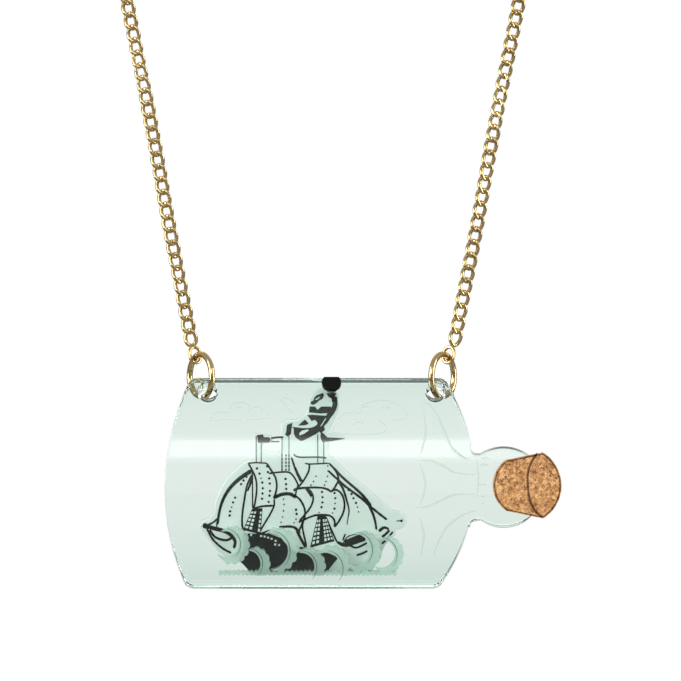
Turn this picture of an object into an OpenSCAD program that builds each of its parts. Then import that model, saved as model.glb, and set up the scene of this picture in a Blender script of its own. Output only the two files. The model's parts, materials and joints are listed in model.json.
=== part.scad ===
// A ship-in-a-bottle necklace pendant on its chain.
// Millimetres, +Z up, the bottle faces -Y. The origin is the centre of the neck that the chain hangs round.

/* [Bottle sheet] */
// Outer radius of the curved sheet, whose axis runs along X
sheet_r = 28.7; // [26:0.1:34]
// Thickness of the sheet
sheet_t = 2.5; // [1.8:0.1:3]
// Angle of the top edge above the front of the curve
top_angle = 43.5; // [40:0.5:50]
// Angle of the bottom edge below the front of the curve
bottom_angle = 52.5; // [50:0.5:56]
// Radius of the rounded corners
corner_r = 2.2; // [1.2:0.1:3]

/* [Bottle outline] */
// Radius of the bowed left end
left_r = 53.5; // [45:0.5:65]
// X of the left end at its fullest
left_x = -31.3; // [-36:0.1:-30]
// Radius of the bowed right end
right_r = 38.4; // [34:0.2:46]
// X of the right end at its fullest
right_x = 30.1; // [29:0.1:33]
// Width of the neck across
neck_w = 13.6; // [10:0.2:15]
// Radius of the round lip at the end of the neck
lip_r = 8.2; // [7:0.1:9]
// X of the centre of the lip
lip_x = 35.8; // [35:0.1:40]
// Radius of the fillets beside the neck
neck_fillet = 1.2; // [0.6:0.1:1.6]

/* [Hanging holes] */
// Radius of the holes for the jump rings
hole_r = 1.8; // [1.7:0.05:2]
// Distance along the sheet from the top edge to a hole's centre
hole_drop = 3.1; // [2.9:0.1:4]
// X of the left hole
hole_left_x = -22.9; // [-26:0.1:-20]
// X of the right hole
hole_right_x = 22.4; // [20:0.1:24]

/* [Jump rings] */
// Radius of a big ring to the middle of its wire
ring_r = 4.4; // [4.3:0.1:5]
// Radius of the big rings' wire
ring_wire_r = 0.62; // [0.5:0.02:0.66]
// Turn of a ring's plane away from the front
ring_turn = 58; // [50:1:62]
// Cut in a ring's wire, in degrees
ring_cut = 2; // [1:0.5:3]
// Place round the ring, from its front strand, where the sheet hangs on it
sheet_seat = -49; // [-52:1:-46]
// Place round the ring, from its front strand, where the end link holds it
link_seat = 120; // [112:1:124]
// Lift of the wire above the middle of its hole
hole_lift = 0.1; // [0:0.05:0.2]

/* [Ship] */
// Thickness of the ship plate
ship_t = 2; // [1.5:0.1:2.5]
// Thickness of the wave plate in front of the ship
wave_t = 1.5; // [1:0.1:2]
// Height of the ship plate's top, from the middle of the bottle
ship_top = 18.3; // [17.8:0.1:18.6]
// Distance from the axis of the curve forward to the back of the ship plate's foot
ship_back = 14; // [13.6:0.1:14.4]
// Clearance between the wave plate's lower edge and the sheet
rest_gap = 0.25; // [0.15:0.05:0.4]

/* [Stud] */
// X of the stud that holds the ship plate
stud_x = 1.7; // [1:0.1:2.4]
// Distance along the sheet from the top edge to the stud's centre
stud_drop = 1.75; // [1.7:0.05:2.4]
// Radius of the stud's head
stud_head_r = 1.95; // [1.6:0.05:2]
// Thickness of the stud's head
stud_head_t = 0.7; // [0.5:0.1:1]
// Radius of the stud's shank
stud_r = 1; // [0.8:0.1:1.1]
// Clearance of the shank in its hole
stud_fit = 0.05; // [0.02:0.01:0.1]

/* [Cork] */
// Thickness of the cork plate
cork_t = 3; // [2:0.1:4]
// X where the cork plate's narrow end is fullest
cork_left_x = 33.6; // [33:0.1:36]
// X where the cork plate's wide end is fullest
cork_right_x = 47.1; // [45:0.1:50]
// Height of the narrow end
cork_narrow = 10; // [9:0.1:12]
// Height of the wide end
cork_wide = 13; // [12:0.1:15]
// Bow of the narrow end
cork_bow = 2.6; // [2:0.1:3.2]
// Bow of the wide end
cork_wide_bow = 3.6; // [3:0.1:4.4]

/* [Chain] */
// Width of the curb chain
chain_w = 2.8; // [2.4:0.1:3]
// Width of an end link
link_w = 3; // [2.9:0.1:3.2]
// Radius of the links' wire
link_wire_r = 0.33; // [0.26:0.01:0.34]
// Length of an end link
link_l = 3.9; // [3.7:0.1:4.4]
// Play between an end link and the ring in it
link_gap = 0.2; // [0.16:0.01:0.24]

/* [Clasp] */
// Radius of the hook to the middle of its wire
hook_r = 2.2; // [2.1:0.05:2.4]
// Radius of the hook's wire
hook_wire_r = 0.6; // [0.5:0.02:0.64]
// Thickness of the clasp's body
clasp_t = 2.2; // [2.1:0.1:2.6]
// Distance from the hook's centre to the lever's pin
lever_reach = 3.1; // [3:0.05:3.2]
// Thickness of the lever
lever_t = 0.8; // [0.7:0.05:0.9]
// Radius of the lever's pin
pin_r = 0.25; // [0.2:0.01:0.3]
// Radius of the small rings to the middle of their wire
small_ring_r = 2; // [1.95:0.05:2.2]
// Radius of the small rings' wire
small_wire_r = 0.36; // [0.3:0.02:0.4]

/* [Hidden] */

$fn = 96;
mint = [0.86, 0.94, 0.91];
clear_mint = [0.86, 0.94, 0.91, 0.35];
gold = [0.86, 0.66, 0.30];
ink = [0.03, 0.05, 0.04];
cork = [0.81, 0.57, 0.30];

// Where the pendant hangs below and in front of the neck's centre
pendant_y = -30;
pendant_z = -130;
curve_z = 1.5;                      // height of the curve's axis, from the middle of the bottle
lip_z = -0.5;                       // height of the middle of the neck and lip
sheet_mid = sheet_r - sheet_t / 2;
sheet_in = sheet_r - sheet_t;

// Angles round the curve of the ring holes and of the stud
hole_angle = top_angle - hole_drop / sheet_mid * 180 / PI;
stud_angle = top_angle - stud_drop / sheet_mid * 180 / PI;

// The curve's axis is placed so that the two big rings hang at y = 0
wire_angle = hole_angle + hole_lift / sheet_mid * 180 / PI;
curve_y = sheet_mid * cos(wire_angle) - ring_r * cos(sheet_seat) * sin(ring_turn);
ring_z = curve_z + sheet_mid * sin(wire_angle) - ring_r * sin(sheet_seat);
ring_left_x = hole_left_x - ring_r * cos(sheet_seat) * cos(ring_turn);
ring_right_x = hole_right_x + ring_r * cos(sheet_seat) * cos(ring_turn);

// Middle of the ring's wire where the end link holds it, for the left ring at x = 0
link_touch = [
    ring_r * cos(link_seat) * cos(ring_turn),
    -ring_r * cos(link_seat) * sin(ring_turn),
    ring_r * sin(link_seat)
];
link_bend_r = link_w / 2 - link_wire_r;
link_half = link_l / 2 - link_w / 2;
link_lift = link_half + link_bend_r - link_wire_r - ring_wire_r - link_gap;
link_lean = 14;                     // the end links lean out and back with the chain

// The wave plate's lower front edge rests on the sheet, and the ship plate behind it leans forward
// until its top meets the sheet at the stud
rest_r = sheet_in - rest_gap;
wave_front = curve_y - ship_back - ship_t - wave_t;
wave_base = curve_z - sqrt(pow(rest_r, 2) - pow(curve_y - wave_front, 2));
ship_h = ship_top - wave_base;
ship_lean = atan2(curve_z - wave_base, curve_y - wave_front) + acos(norm([wave_t, ship_h]) / 2 / rest_r)
    + atan(wave_t / ship_h) - 90;

// Outline of the ship plate: one smooth stretch between each two corners. It is stretched to its full height
ship_stretch = 1.035;
ship_drop = -0.28;
ship_stern = [[-17, -14.6], [-20.4, -13.2], [-22.8, -10.6], [-24.6, -8.4], [-24.5, -7.2], [-22.8, -6.6]];
ship_spanker = [[-21.9, -5.3], [-21.4, -2.7], [-19.7, 0.6], [-17.6, 2.8], [-15.3, 4.5]];
ship_mizzen = [[-13.8, 4.8], [-13.8, 9.7], [-10.2, 9.2], [-10.2, 8], [-12.1, 7.8], [-12.1, 6.8]];
ship_gap = [[-11.8, 6.5], [-10.2, 6.1], [-8.6, 6.3]];
ship_main = [[-8.4, 6.6], [-8.3, 11.7], [-7.2, 12.3]];
ship_pennant = [
    [-5.6, 12.2], [-3.7, 13.2], [-2.9, 14.5], [-2.8, 16.2], [-1.3, 17.8], [0.8, (ship_top - ship_drop) / ship_stretch],
    [2.7, 17.5], [3.3, 15.4], [2.7, 13.2], [1.5, 10.9]
];
ship_fore = [[1.2, 9.7], [4.4, 9.1], [4.4, 8.6], [1.2, 8.1], [1.2, 5.6]];
ship_stay = [[2.2, 4.9], [4.7, 2.5], [9.4, -1.3], [14, -5.1]];
ship_bow = [[15.6, -5.3], [16.8, -6.7], [16, -8.2], [14.6, -8.6]];
ship_prow = [[14.4, -9.8], [12.4, -11.6], [11.4, -14.2], [9.6, -16.2]];
ship_keel = -16.8;

// Wave curls, open to the left: [x, height and radius of the curl, x, height and radius of its opening]
curls = [
    [-18.3, -12, 3.7, -19.5, -11.8, 2.6], [-13.8, -15.6, 3.3, -15, -15.5, 2.5],
    [-9.2, -12.9, 4.3, -10.5, -13.1, 3.5], [-2.9, -16, 3.5, -4.35, -16.1, 2.65],
    [1.7, -15.8, 3.7, 0.6, -16.4, 3], [7.6, -13.2, 4.1, 6.4, -12.9, 3.1],
    [12.6, -13.8, 3.6, 11.6, -13.7, 2.8]
];
scallops = 14;                      // small lobes of foam round a curl
scallop_r = 0.75;
swell_ends = [-20.5, 14.3];         // X of the first and last lobe of the water under the curls
swell_r = 0.4;
swells = 40;

// Route of the left chain from its end link up and over the neck, and where each chain ends at the top.
// The right chain mirrors the left one
chain_route = [
    [-26.3, -27.6, -102.1], [-28.6, -27.9, -90], [-30.9, -28, -78], [-33, -28, -66],
    [-35.2, -27.9, -54], [-37.4, -27.7, -43], [-39.5, -27.3, -32], [-41.2, -26.5, -20],
    [-42.4, -25, -6], [-42.6, -22.5, 8], [-40.4, -19, 22], [-35.6, -15, 36],
    [-28.6, -11.5, 48], [-20.8, -9, 57], [-13.4, -7.4, 62.5]
];
chain_end_left = [-8.4, -6.5, 65];
chain_end_right = [-8.1, -6.5, 67];
chain_sides = 8;
chain_steps = 2;                    // rings along the tube between two points of the route

clasp_at = [2.6, -6.5, 65];         // centre of the hook
lever_start = -160;                 // the lever's arc round the hook's centre
lever_end = -60;
tip_r = 3.75;                       // from the pin to the lever's tip
hook_start = -84;
hook_sweep = 246;
eye_x = -6.4;                       // centre of the clasp's eye, from the hook's centre
eye_r = 0.8;
lever_gap = 0.1;                    // running clearance beside the lever
spring_wire_r = 0.12;
spring_r = 0.46;
spring_turns = 3;
spring_pocket = [-5.3, -4.2];       // ends of the spring's pocket, behind the lever
spring_fit = 0.08;
body_r = 1.75;                      // height of the clasp's body, as a radius
eye_rim_r = 1.5;
pin = [-lever_reach, -0.7];
small_ring_x = eye_x - small_ring_r + 0.1;
catch_angle = 22;                   // place on the hook that holds the catch ring
catch_r = hook_r - hook_wire_r - small_wire_r - 0.06;

// --- functions ---

// One point of a Catmull-Rom curve through four points
function blend(a, b, c, d, t) =
    0.5 * (2 * b + (c - a) * t + (2 * a - 5 * b + 4 * c - d) * t * t + (3 * b - a - 3 * c + d) * t * t * t);

// An open smooth curve through points, with steps between each two
function smooth(p, steps) = let (n = len(p)) [
    for (i = [0:n - 2]) for (k = [0:steps - 1])
        blend(p[max(i - 1, 0)], p[i], p[i + 1], p[min(i + 2, n - 1)], k / steps),
    p[n - 1]
];

function arc(at, r, from, to, steps) =
    [for (k = [0:steps]) at + r * [cos(from + (to - from) * k / steps), sin(from + (to - from) * k / steps)]];

function unit(v) = v / norm(v);

// Radius of a bow from its chord's height and its bow
function bow_r(height, bow) = (height * height / 4 + bow * bow) / (2 * bow);

// --- helpers ---

module in_pendant() translate([0, pendant_y, pendant_z]) children();

// Puts a shape drawn in X and Z on a slab between two depths
module slab(front, depth) translate([0, front + depth, 0]) rotate([90, 0, 0]) linear_extrude(depth) children();

// Puts a shape with its axis along Z on the sheet's normal at an angle round the curve, z = 0 on the outside
module on_sheet(x, angle) translate([x, curve_y, curve_z]) rotate([90 - angle, 0, 0])
    translate([0, 0, sheet_r]) children();

module wire_ring(r, wire_r, cut = 0) rotate([0, 0, cut / 2]) rotate_extrude(angle = 360 - cut)
    translate([r, 0]) circle(wire_r, $fn = 32);

// Points of one bowed end of the bottle, anticlockwise, with rounded corners at the level edges.
// side is -1 for the left end and 1 for the right one
function bowed_end(at, r, side) = let (
    top = curve_z + sheet_r * sin(top_angle),
    bottom = curve_z - sheet_r * sin(bottom_angle),
    from = [for (edge = [bottom + corner_r, top - corner_r]) asin((edge - at[1]) / (r - corner_r))],
    low = at + (r - corner_r) * [side * cos(from[0]), sin(from[0])],
    high = at + (r - corner_r) * [side * cos(from[1]), sin(from[1])],
    points = concat(
        [for (k = [0:6]) let (t = -90 + (from[0] + 90) * k / 6) low + corner_r * [side * cos(t), sin(t)]],
        [for (k = [1:17]) let (t = from[0] + (from[1] - from[0]) * k / 18) at + r * [side * cos(t), sin(t)]],
        [for (k = [0:6]) let (t = from[1] + (90 - from[1]) * k / 6) high + corner_r * [side * cos(t), sin(t)]]
    )
) side > 0 ? points : [for (k = [len(points) - 1:-1:0]) points[k]];

module bottle_outline() {
    right_at = [right_x - right_r, 0.9];
    shoulder = right_at[0] + sqrt(right_r * right_r - pow(neck_w / 2 + neck_fillet, 2));
    polygon(concat(bowed_end([left_x + left_r, -1], left_r, -1), bowed_end(right_at, right_r, 1)));
    translate([lip_x, lip_z]) circle(lip_r, $fn = 180);
    translate([0, lip_z - neck_w / 2]) square([lip_x, neck_w]);
    // Fillets from the shoulders into the neck
    for (side = [-1, 1]) difference() {
        translate([shoulder - 1.5, lip_z + side * (neck_w + neck_fillet) / 2 - neck_fillet / 2])
            square([neck_fillet + 1.5, neck_fillet]);
        translate([shoulder + neck_fillet, lip_z + side * (neck_w / 2 + neck_fillet)]) circle(neck_fillet);
    }
}

// --- sub-parts ---

module bottle() color(clear_mint) in_pendant() difference() {
    intersection() {
        translate([0, curve_y, curve_z]) rotate([0, 90, 0]) rotate([0, 0, -90 - top_angle])
            rotate_extrude(angle = top_angle + bottom_angle, $fn = 360)
                translate([sheet_in, left_x - 5]) square([sheet_t, lip_x + lip_r - left_x + 10]);
        slab(curve_y - sheet_r - 5, sheet_r) bottle_outline();
    }
    for (x = [hole_left_x, hole_right_x]) on_sheet(x, hole_angle)
        translate([0, 0, -sheet_t - 2]) cylinder(r = hole_r, h = sheet_t + 4);
    on_sheet(stud_x, stud_angle) translate([0, 0, -sheet_t - 2]) cylinder(r = stud_r + stud_fit, h = sheet_t + 4);
}

module ship_outline() translate([0, ship_drop]) scale([1, ship_stretch]) {
    polygon(concat(
        smooth(ship_stern, 4), smooth(ship_spanker, 4), ship_mizzen, smooth(ship_gap, 4), ship_main,
        smooth(ship_pennant, 4), ship_fore, smooth(ship_stay, 4), smooth(ship_bow, 4), smooth(ship_prow, 4),
        [[9, ship_keel], [-13, ship_keel]]
    ));
}

// Puts a plate drawn in X and Z in the lean of the ship, with its front this far behind the waves' front
module ship_slab(front, depth) in_pendant() translate([0, wave_front, wave_base])
    rotate([ship_lean, 0, 0]) translate([0, 0, -wave_base]) slab(front, depth) children();

module ship_plate() color(mint) ship_slab(wave_t, ship_t) ship_outline();

module wave_plate() color(mint) ship_slab(0, wave_t) difference() {
    union() {
        for (c = curls) difference() {
            translate([c[0], c[1]]) {
                circle(c[2] - scallop_r / 2, $fn = 48);
                for (k = [0:scallops - 1]) let (
                    lobe = (c[2] - scallop_r) * [cos(k * 360 / scallops), sin(k * 360 / scallops)]
                ) if (norm([c[0] - c[3], c[1] - c[4]] + lobe) > c[5] + 0.1)
                    translate(lobe) circle(scallop_r, $fn = 24);
            }
            translate([c[3], c[4]]) circle(c[5], $fn = 48);
        }
        for (k = [0:swells - 1])
            translate([swell_ends[0] + (swell_ends[1] - swell_ends[0]) * k / (swells - 1), wave_base + swell_r])
                circle(swell_r, $fn = 32);
        translate([swell_ends[0], wave_base + swell_r / 2])
            square([swell_ends[1] - swell_ends[0], swell_r]);
    }
    translate([-40, wave_base - 10]) square([80, 10]);
}

module top_stud() color(ink) difference() {
    in_pendant() on_sheet(stud_x, stud_angle) {
        cylinder(r = stud_head_r, h = stud_head_t);
        translate([0, 0, -sheet_t - 3]) cylinder(r = stud_r, h = sheet_t + 3.2);
    }
    // The foot is cut flush with the ship plate's front, and the head level with the bottle's top
    ship_slab(wave_t, 20) translate([stud_x - 5, 0]) square([10, 40]);
    in_pendant() translate([stud_x - 5, curve_y - sheet_r - 5, curve_z + sheet_r * sin(top_angle) + 0.1])
        cube([10, 20, 10]);
}

module cork_stopper() color(cork) in_pendant() {
    mid_z = 0;
    narrow_r = bow_r(cork_narrow, cork_bow);
    wide_r = bow_r(cork_wide, cork_wide_bow);
    narrow_half = asin(cork_narrow / 2 / narrow_r);
    wide_half = asin(cork_wide / 2 / wide_r);
    slab(curve_y - sheet_r - cork_t, cork_t) polygon(concat(
        arc([cork_right_x - wide_r, mid_z], wide_r, -wide_half, wide_half, 24),
        arc([cork_left_x + narrow_r, mid_z], narrow_r, 180 - narrow_half, 180 + narrow_half, 24)
    ));
}

// side is -1 for the left ring and 1 for the right one. The front strand points towards the middle
module big_ring(side) color(gold) in_pendant() translate([side < 0 ? ring_left_x : ring_right_x, 0, ring_z])
    scale_side(side) rotate([0, 0, -ring_turn]) rotate([90, 0, 0]) rotate([0, 0, -110])
        wire_ring(ring_r, ring_wire_r, ring_cut);

module scale_side(side) {
    if (side < 0) children();
    else mirror([1, 0, 0]) children();
}

module ring_left() big_ring(-1);
module ring_right() big_ring(1);

// An oval link in the X-Z plane, standing on its end
module oval_link() {
    for (side = [0, 180]) rotate([0, side, 0]) {
        translate([link_bend_r, 0, -link_half]) cylinder(r = link_wire_r, h = 2 * link_half, $fn = 32);
        translate([0, 0, link_half]) rotate([90, 0, 0]) rotate_extrude(angle = 180)
            translate([link_bend_r, 0]) circle(link_wire_r, $fn = 32);
    }
}

module end_link(side) color(gold) in_pendant() translate([side < 0 ? ring_left_x : ring_right_x, 0, ring_z])
    scale_side(side) translate(link_touch) rotate([0, 0, 90 - ring_turn]) rotate([-link_lean, 0, 0])
        translate([0, 0, link_lift]) oval_link();

module end_link_left() end_link(-1);
module end_link_right() end_link(1);

// A round tube swept along a route, closed at both ends. across is a direction that the route never takes
module tube(route, r, sides, across) {
    n = len(route);
    points = [for (i = [0:n - 1]) let (
        along = unit(route[min(i + 1, n - 1)] - route[max(i - 1, 0)]),
        out = unit(cross(along, across)),
        up = cross(out, along)
    ) for (k = [0:sides - 1]) route[i] + r * (cos(k * 360 / sides) * out + sin(k * 360 / sides) * up)];
    walls = [for (i = [0:n - 2]) for (k = [0:sides - 1]) let (
        a = i * sides + k, b = i * sides + (k + 1) % sides
    ) for (face = [[a, b, b + sides], [a, b + sides, a + sides]]) face];
    ends = [[for (k = [sides - 1:-1:0]) k], [for (k = [0:sides - 1]) (n - 1) * sides + k]];
    polyhedron(points, concat(ends, walls));
}

module chain(end) color(gold)
    tube(smooth(concat(chain_route, [end]), chain_steps), chain_w / 2, chain_sides, [0, 1, 0]);

module chain_left() chain(chain_end_left);
module chain_right() mirror([1, 0, 0]) chain(chain_end_right);

// Puts a shape drawn flat in X and Y at the clasp, with its thickness along Y
module at_clasp() translate(clasp_at) rotate([90, 0, 0]) children();

module clasp_body() color(gold) at_clasp() difference() {
    union() {
        rotate([0, 0, hook_start]) rotate_extrude(angle = hook_sweep)
            translate([hook_r, 0]) circle(hook_wire_r, $fn = 32);
        translate([0, 0, -clasp_t / 2]) linear_extrude(clasp_t) difference() {
            union() {
                translate([-lever_reach, 0]) circle(body_r);
                translate([eye_x, 0]) circle(eye_rim_r);
                translate([eye_x, -eye_rim_r]) square([-eye_x - lever_reach, 2 * eye_rim_r]);
            }
            circle(hook_r - hook_wire_r);
            translate([eye_x, 0]) circle(eye_r);
        }
    }
    // Slot for the lever and its pin, and room for the lever's tip to swing past the hook's end
    translate([pin[0] - 1.2, -3, -lever_t / 2 - lever_gap]) cube([3.6, 3.2, lever_t + 2 * lever_gap]);
    intersection() {
        translate([pin[0], pin[1], -clasp_t]) cylinder(r = tip_r + lever_gap, h = 2 * clasp_t);
        translate([-hook_r, -hook_r - 1, -clasp_t]) cube([2 * hook_r, 2.2, 2 * clasp_t]);
    }
    translate([pin[0], pin[1], -clasp_t]) cylinder(r = pin_r + 0.02, h = 2 * clasp_t, $fn = 32);
    // Pocket for the spring
    translate([spring_pocket[0], 0, 0]) rotate([0, 90, 0])
        cylinder(r = spring_r + spring_wire_r + spring_fit, h = spring_pocket[1] - spring_pocket[0] + 1);
}

module clasp_lever() color(gold) at_clasp() difference() {
    union() {
        intersection() {
            rotate([0, 0, lever_start]) rotate_extrude(angle = lever_end - lever_start)
                translate([hook_r, 0]) circle(hook_wire_r, $fn = 32);
            translate([pin[0], pin[1], -lever_t / 2]) cylinder(r = tip_r, h = lever_t);
        }
        translate([pin[0], pin[1], -lever_t / 2]) cylinder(r = 0.8, h = lever_t);
        // Thumb nub
        translate([-2.3, -2.7, -lever_t / 2]) cylinder(r = 0.8, h = lever_t);
    }
    translate([pin[0], pin[1], -clasp_t]) cylinder(r = pin_r + 0.03, h = 2 * clasp_t, $fn = 32);
}

module clasp_pin() color(gold) at_clasp()
    translate([pin[0], pin[1], -clasp_t / 2]) cylinder(r = pin_r, h = clasp_t, $fn = 32);

module clasp_spring() color("silver") at_clasp() {
    start = spring_pocket[0] + spring_wire_r + spring_fit;
    length = spring_pocket[1] - start - spring_wire_r - spring_fit;
    tube([for (k = [0:16 * spring_turns]) let (t = k * 360 / 16)
        [start + length * k / 16 / spring_turns, spring_r * cos(t), spring_r * sin(t)]],
        spring_wire_r, 6, [1, 0, 0]);
}

module clasp_ring() color(gold) translate(clasp_at + [small_ring_x, 0, 0])
    wire_ring(small_ring_r, small_wire_r, ring_cut);

module catch_ring() color(gold) translate(clasp_at) rotate([0, -catch_angle, 0])
    translate([catch_r + small_ring_r, 0, 0]) wire_ring(small_ring_r, small_wire_r, ring_cut);

bottle();
ship_plate();
wave_plate();
top_stud();
cork_stopper();
ring_left();
ring_right();
end_link_left();
end_link_right();
chain_left();
chain_right();
clasp_body();
clasp_lever();
clasp_pin();
clasp_spring();
clasp_ring();
catch_ring();
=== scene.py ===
"""A ship-in-a-bottle necklace: a curved acrylic bottle with a ship behind it, hung on a curb chain.

Sizes of pieces are in millimetres, and those of the studio and of the shaders are in metres.
"""

import json
import logging
import math
from dataclasses import dataclass
from enum import Enum
from typing import Any, Callable, Iterable, Sequence

import bmesh
import bpy
from mathutils import Matrix, Vector

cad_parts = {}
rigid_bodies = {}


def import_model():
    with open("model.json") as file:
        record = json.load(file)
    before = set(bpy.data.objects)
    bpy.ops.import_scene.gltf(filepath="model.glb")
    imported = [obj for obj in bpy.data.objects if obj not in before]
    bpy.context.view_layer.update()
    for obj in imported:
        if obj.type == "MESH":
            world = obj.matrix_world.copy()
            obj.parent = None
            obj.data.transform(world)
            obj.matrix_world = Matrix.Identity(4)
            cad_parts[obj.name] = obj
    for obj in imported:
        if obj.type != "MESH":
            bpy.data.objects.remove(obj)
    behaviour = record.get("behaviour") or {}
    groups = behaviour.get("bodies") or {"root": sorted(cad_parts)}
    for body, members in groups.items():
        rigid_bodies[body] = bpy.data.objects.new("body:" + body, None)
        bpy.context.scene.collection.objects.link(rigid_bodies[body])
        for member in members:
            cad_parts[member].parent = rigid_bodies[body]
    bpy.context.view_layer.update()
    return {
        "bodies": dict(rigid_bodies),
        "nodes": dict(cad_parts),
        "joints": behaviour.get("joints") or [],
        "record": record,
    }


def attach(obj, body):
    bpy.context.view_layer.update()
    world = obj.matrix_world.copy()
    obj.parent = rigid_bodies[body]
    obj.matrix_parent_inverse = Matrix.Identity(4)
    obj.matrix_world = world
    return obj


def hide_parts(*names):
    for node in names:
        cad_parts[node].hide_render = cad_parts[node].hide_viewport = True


MM = 0.001
PENDANT_Y, PENDANT_Z = -30.0, -130.0
log = logging.getLogger("necklace")

Point = tuple[float, float]
Point3 = tuple[float, float, float]
Colour = tuple[float, float, float]
Placing = Callable[[float, float, float], Vector]


class Slot(Enum):
    """The material slots of the part's record."""

    BOTTLE = "clear_mint_acrylic"
    SHIP = "ship_acrylic"
    WAVES = "mint_acrylic"
    STUD = "black_stud"
    CORK = "cork"
    GOLD = "gold_plate"
    STEEL = "spring_steel"


class Body(Enum):
    """The rigid bodies that pieces ride on."""

    NECKLACE = "necklace"
    LEFT_RING = "left_ring"
    RIGHT_RING = "right_ring"
    PENDANT = "pendant"
    LEVER = "lever"


# --- shader nodes ---


class Value:
    """One output of a node, with arithmetic that adds the Math nodes it needs."""

    def __init__(self, nodes: "Nodes", socket: bpy.types.NodeSocket) -> None:
        """Wraps a socket of a node tree."""
        self.nodes = nodes
        self.socket = socket

    def _math(self, operation: str, first: Any, second: Any = 0.0) -> "Value":
        """Adds a Math node and returns its result."""
        return self.nodes.add("ShaderNodeMath", {"operation": operation}, {0: first, 1: second})[0]

    def __add__(self, other: Any) -> "Value":
        """Sum with another value or a number."""
        return self._math("ADD", self, other)

    def __radd__(self, other: Any) -> "Value":
        """Sum with a number on the left."""
        return self._math("ADD", other, self)

    def __sub__(self, other: Any) -> "Value":
        """Difference from another value or a number."""
        return self._math("SUBTRACT", self, other)

    def __rsub__(self, other: Any) -> "Value":
        """A number less this value."""
        return self._math("SUBTRACT", other, self)

    def __mul__(self, other: Any) -> "Value":
        """Product with another value or a number."""
        return self._math("MULTIPLY", self, other)

    def __rmul__(self, other: Any) -> "Value":
        """Product with a number on the left."""
        return self._math("MULTIPLY", other, self)

    def at_most(self, other: Any) -> "Value":
        """The smaller of this value and another."""
        return self._math("MINIMUM", self, other)

    def at_least(self, other: Any) -> "Value":
        """The larger of this value and another."""
        return self._math("MAXIMUM", self, other)


class Outputs:
    """The outputs of one added node."""

    def __init__(self, nodes: "Nodes", node: bpy.types.Node) -> None:
        """Wraps a node of a node tree."""
        self.nodes = nodes
        self.node = node

    def __getitem__(self, key: int | str) -> Value:
        """One output, by its name or number."""
        return Value(self.nodes, self.node.outputs[key])


class Nodes:
    """The node tree of one material or of the world."""

    def __init__(self, owner: Any) -> None:
        """Empties the owner's node tree.

        Args:
            owner: a material or a world.
        """
        owner.use_nodes = True
        self.tree = owner.node_tree
        self.tree.nodes.clear()

    def add(self, kind: str, settings: dict | None = None, inputs: dict | None = None) -> Outputs:
        """Adds a node.

        Args:
            kind: the node's type.
            settings: its properties; "stops" is a ramp's list of (position, colour).
            inputs: values or links of its input sockets, by name or number.

        Returns:
            The node's outputs.
        """
        node = self.tree.nodes.new(kind)
        for key, value in (settings or {}).items():
            if key == "stops":
                ramp = node.color_ramp
                while len(ramp.elements) < len(value):
                    ramp.elements.new(0.5)
                for element, (position, colour) in zip(ramp.elements, value):
                    element.position = position
                    element.color = (*colour, 1)
            else:
                setattr(node, key, value)
        for key, value in (inputs or {}).items():
            if isinstance(value, Value):
                self.tree.links.new(value.socket, node.inputs[key])
            elif isinstance(value, tuple) and len(value) == 3 and len(node.inputs[key].default_value) == 4:
                node.inputs[key].default_value = (*value, 1)
            else:
                node.inputs[key].default_value = value
        return Outputs(self, node)

    def place(self) -> Value:
        """The position on the object, in metres."""
        return self.add("ShaderNodeTexCoord")["Object"]

    def noise(self, scale: float, detail: float = 3.0, roughness: float = 0.55) -> Value:
        """A noise of that many waves a metre, from 0 to 1."""
        return self.add("ShaderNodeTexNoise", {}, {
            "Vector": self.place(), "Scale": scale, "Detail": detail, "Roughness": roughness})["Fac"]

    def ramp(self, factor: Value, *stops: tuple[float, Colour]) -> Value:
        """A colour looked up from a factor."""
        return self.add("ShaderNodeValToRGB", {"stops": list(stops)}, {"Fac": factor})["Color"]

    def mix(self, factor: Any, first: Any, second: Any) -> Value:
        """A colour between two others."""
        return self.add("ShaderNodeMix", {"data_type": "RGBA"}, {0: factor, 6: first, 7: second})[2]

    def bump(self, height: Value, depth: float, strength: float = 1.0) -> Value:
        """A normal bent by a height, whose full swing is depth in metres."""
        return self.add("ShaderNodeBump", {}, {
            "Height": height, "Distance": depth, "Strength": strength})["Normal"]

    def surface(self, inputs: dict) -> Value:
        """A Principled surface with those inputs."""
        return self.add("ShaderNodeBsdfPrincipled", {}, inputs)["BSDF"]

    def output(self, shader: Value, kind: str = "ShaderNodeOutputMaterial") -> None:
        """Ends the tree with a shader."""
        self.add(kind, {}, {"Surface": shader})


@dataclass(frozen=True)
class Finish:
    """A surface finish, made into a material once and shared by its pieces."""

    name: str

    def shader(self, nodes: Nodes) -> Value:
        """Builds the finish's nodes and returns its shader."""
        raise NotImplementedError

    def material(self) -> bpy.types.Material:
        """The finish's material, made when first asked for.

        Returns:
            The material.
        """
        made = bpy.data.materials.get(self.name)
        if made is None:
            made = bpy.data.materials.new(self.name)
            nodes = Nodes(made)
            nodes.output(self.shader(nodes))
        return made


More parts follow.
